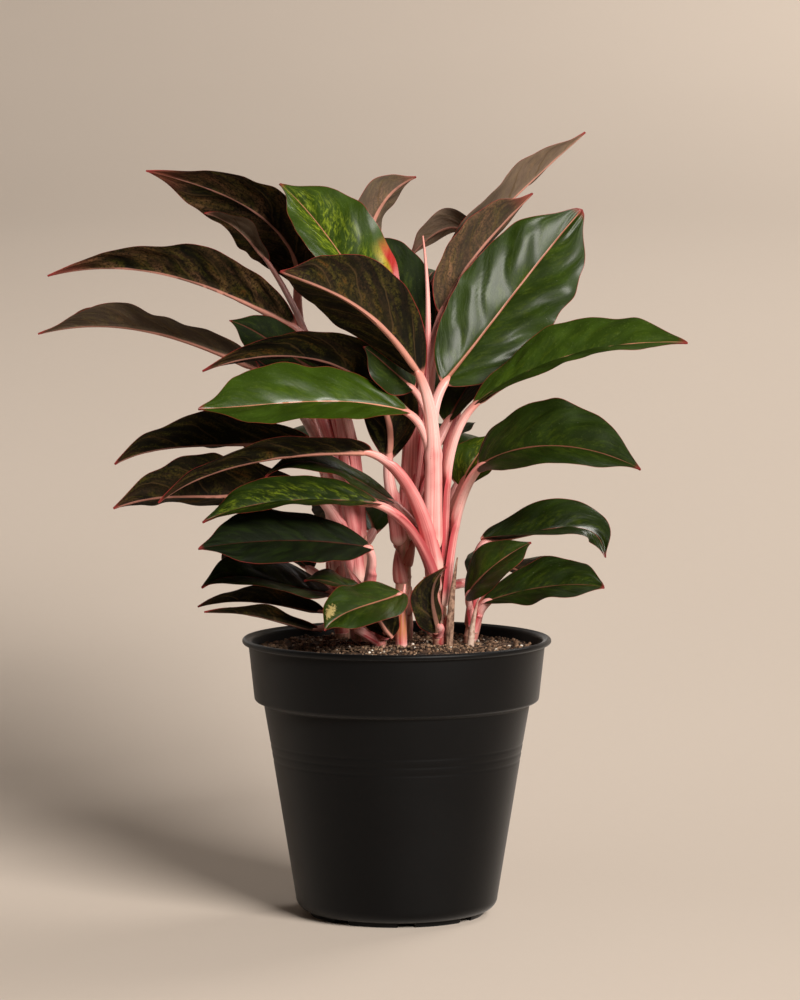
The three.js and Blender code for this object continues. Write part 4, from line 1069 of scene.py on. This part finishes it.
STALK_TRAITS = ("pallor", "sheath_end", "age", "amber")
stalk_paint = Paint("pink_stalk", Specular_IOR_Level=0.45)
grain = stalk_paint.grain
u, v = stalk_paint.around_and_along()
trait = stalk_paint.traits(STALK_TRAITS)
place = stalk_paint.place()
lines = stalk_paint.vector(u * 26, v * 1.6, trait["pallor"] * 9)
threads = grain(lines, 1, detail=3, rough=0.6)
clouds = grain(place, 45, detail=2)
specks = grain(place, 900, detail=2)
above = (v - trait["sheath_end"]).step(-0.05, 0.12)
lips = 1 - abs(abs(u - 0.5) - 0.22).step(0.01, 0.05)
foot = 1 - v.step(0.02, 0.13)
# The cream above the sheath is the stalk's own colour. The pallor trait adds more cream, partly the stalk's
# own paleness and partly a painted highlight where it catches the light.
pale = above * 0.65 + trait["pallor"] * clouds.step(0.25, 0.6) * 0.6
cream = stalk_paint.mixed(threads.step(0.3, 0.7), (0.8, 0.35, 0.31), (0.91, 0.58, 0.53))
bark = stalk_paint.mixed(clouds.step(0.35, 0.6), (0.2, 0.095, 0.045), (0.46, 0.25, 0.16))
ripe = trait["amber"] * v.step(0.05, 0.3) * (1 - v.step(0.5, 0.85)) * threads.step(0.3, 0.6)
pink = stalk_paint.coated(
    stalk_paint.mixed(threads.step(0.3, 0.7), (0.44, 0.072, 0.078), (0.71, 0.24, 0.225)),
    (pale, cream),
    (v.step(0.8, 1), (0.66, 0.25, 0.2)),
    (lips * (1 - above) * 0.85, (0.42, 0.028, 0.04)),
    (foot * 0.6, (0.86, 0.66, 0.54)),
    (specks.step(0.64, 0.75) * 0.45, (0.45, 0.09, 0.085)),
    (trait["age"] * threads.step(0.2, 0.6), bark),
    (ripe * 0.8, (0.38, 0.15, 0.03)),
)
stalk_paint.feed(
    Base_Color=pink,
    Roughness=0.32 + threads * 0.12 + trait["age"] * 0.2,
    Normal=stalk_paint.relief(threads * 0.7 + specks * 0.3, 0.0003, 0.6),
)

growths = {
    # route: three points of a smooth line; radii: half widths at them; amber: how ripe and brown it is
    "rolled_leaf": dict(
        stem="middle", route=((5, 14, 232), (26, 14, 340), (16, 17, 417)), radii=(3.5, 2.6, 0.5)),
    "ripe_sheath": dict(
        stem="left", route=((3, -22, 166), (2, -25, 186), (5, -22, 206)), radii=(3.4, 4.2, 0.6), amber=1),
    "old_stub": dict(
        stem="left", route=((-11, -15, 170), (-19, -24, 176), (-27, -34, 181)), radii=(3.4, 3, 2.4)),
    "dry_sheath": dict(
        route=((32, -16, 160), (32, -16, 192), (37, -19, 222)), radii=(2, 2.2, 0.4)),
    "young_shoot": dict(
        route=((45, -6, 160), (45, -6, 177), (50, -6, 195)), radii=(2.4, 2, 0.4)),
}


for name, stem in stems.items():
    mesh = bmesh.new()
    mesh.loops.layers.uv.new("UVMap")
    for key in STALK_TRAITS:
        mesh.verts.layers.float.new(key)
    add_cane(mesh, stem)
    add_old_bases(mesh, stem)
    for leaf in leaves.values():
        if leaf["stem"] == name:
            add_stalk(mesh, leaf, leaf.get("pallor", seeds.uniform(0, 0.6)))
    for growth in growths.values():
        if growth.get("stem") == name:
            amber = growth.get("amber", 0)
            add_growth(mesh, growth, GROWTH_ROWS, rolled_up, pallor=0.3, sheath_end=0.6, amber=amber)
    stalks = standing(f"stalks_{name}", mesh, stalk_paint, crease=60)
    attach(stalks, "root")
    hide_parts(f"stem_{name}")


# Dry sheath: the papery brown remains of an old stalk, standing in the mix beside the front stem.

def grown_alone(name, growth, squeeze, paint):
    """Puts a growth that belongs to no stem in the scene as a piece of its own."""
    mesh = bmesh.new()
    mesh.loops.layers.uv.new("UVMap")
    add_growth(mesh, growth, GROWTH_ROWS, squeeze)
    return standing(name, mesh, paint)


def crumpled(u, v):
    """Creased along its length by a few broad folds and some finer ones."""
    return 1 + 0.22 * sin(tau * (2 * u + 0.6 * v)) + 0.08 * sin(tau * (7 * u + 3 * v))


papery = Paint("dry_sheath", Roughness=0.8)
place = papery.place()
mottle = papery.grain(place, 320, detail=5, rough=0.65)
papery.feed(
    Base_Color=papery.mixed(mottle.step(0.35, 0.68), (0.09, 0.04, 0.022), (0.36, 0.21, 0.14)),
    Normal=papery.relief(mottle, 0.0006),
)
sheath = grown_alone("dry_sheath_husk", growths["dry_sheath"], crumpled, papery)
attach(sheath, "root")
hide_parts("dry_sheath")


# Young shoot: a pale spike that has just come through the mix, still wrapped in its first scales.

def scaled(u, v):
    """Three scales, each a little wider at its foot than the one above it is there."""
    return 1 + 0.1 * (1 - (v * 3) % 1) + 0.05 * sin(tau * (3 * u + v))


tender = Paint("young_shoot", Roughness=0.5)
place = tender.place()
marks = tender.grain(place, 420, detail=4)
height = tender.node("SeparateXYZ", values={0: place}, output=2)
tan = tender.mixed(marks.step(0.4, 0.7), (0.5, 0.36, 0.28), (0.3, 0.17, 0.12))
tender.feed(
    Base_Color=tender.mixed(height.step(0.18, 0.194) * 0.6, tan, (0.42, 0.15, 0.12)),
    Normal=tender.relief(marks, 0.0004),
)
shoot = grown_alone("young_shoot_spike", growths["young_shoot"], scaled, tender)
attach(shoot, "root")
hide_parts("young_shoot")
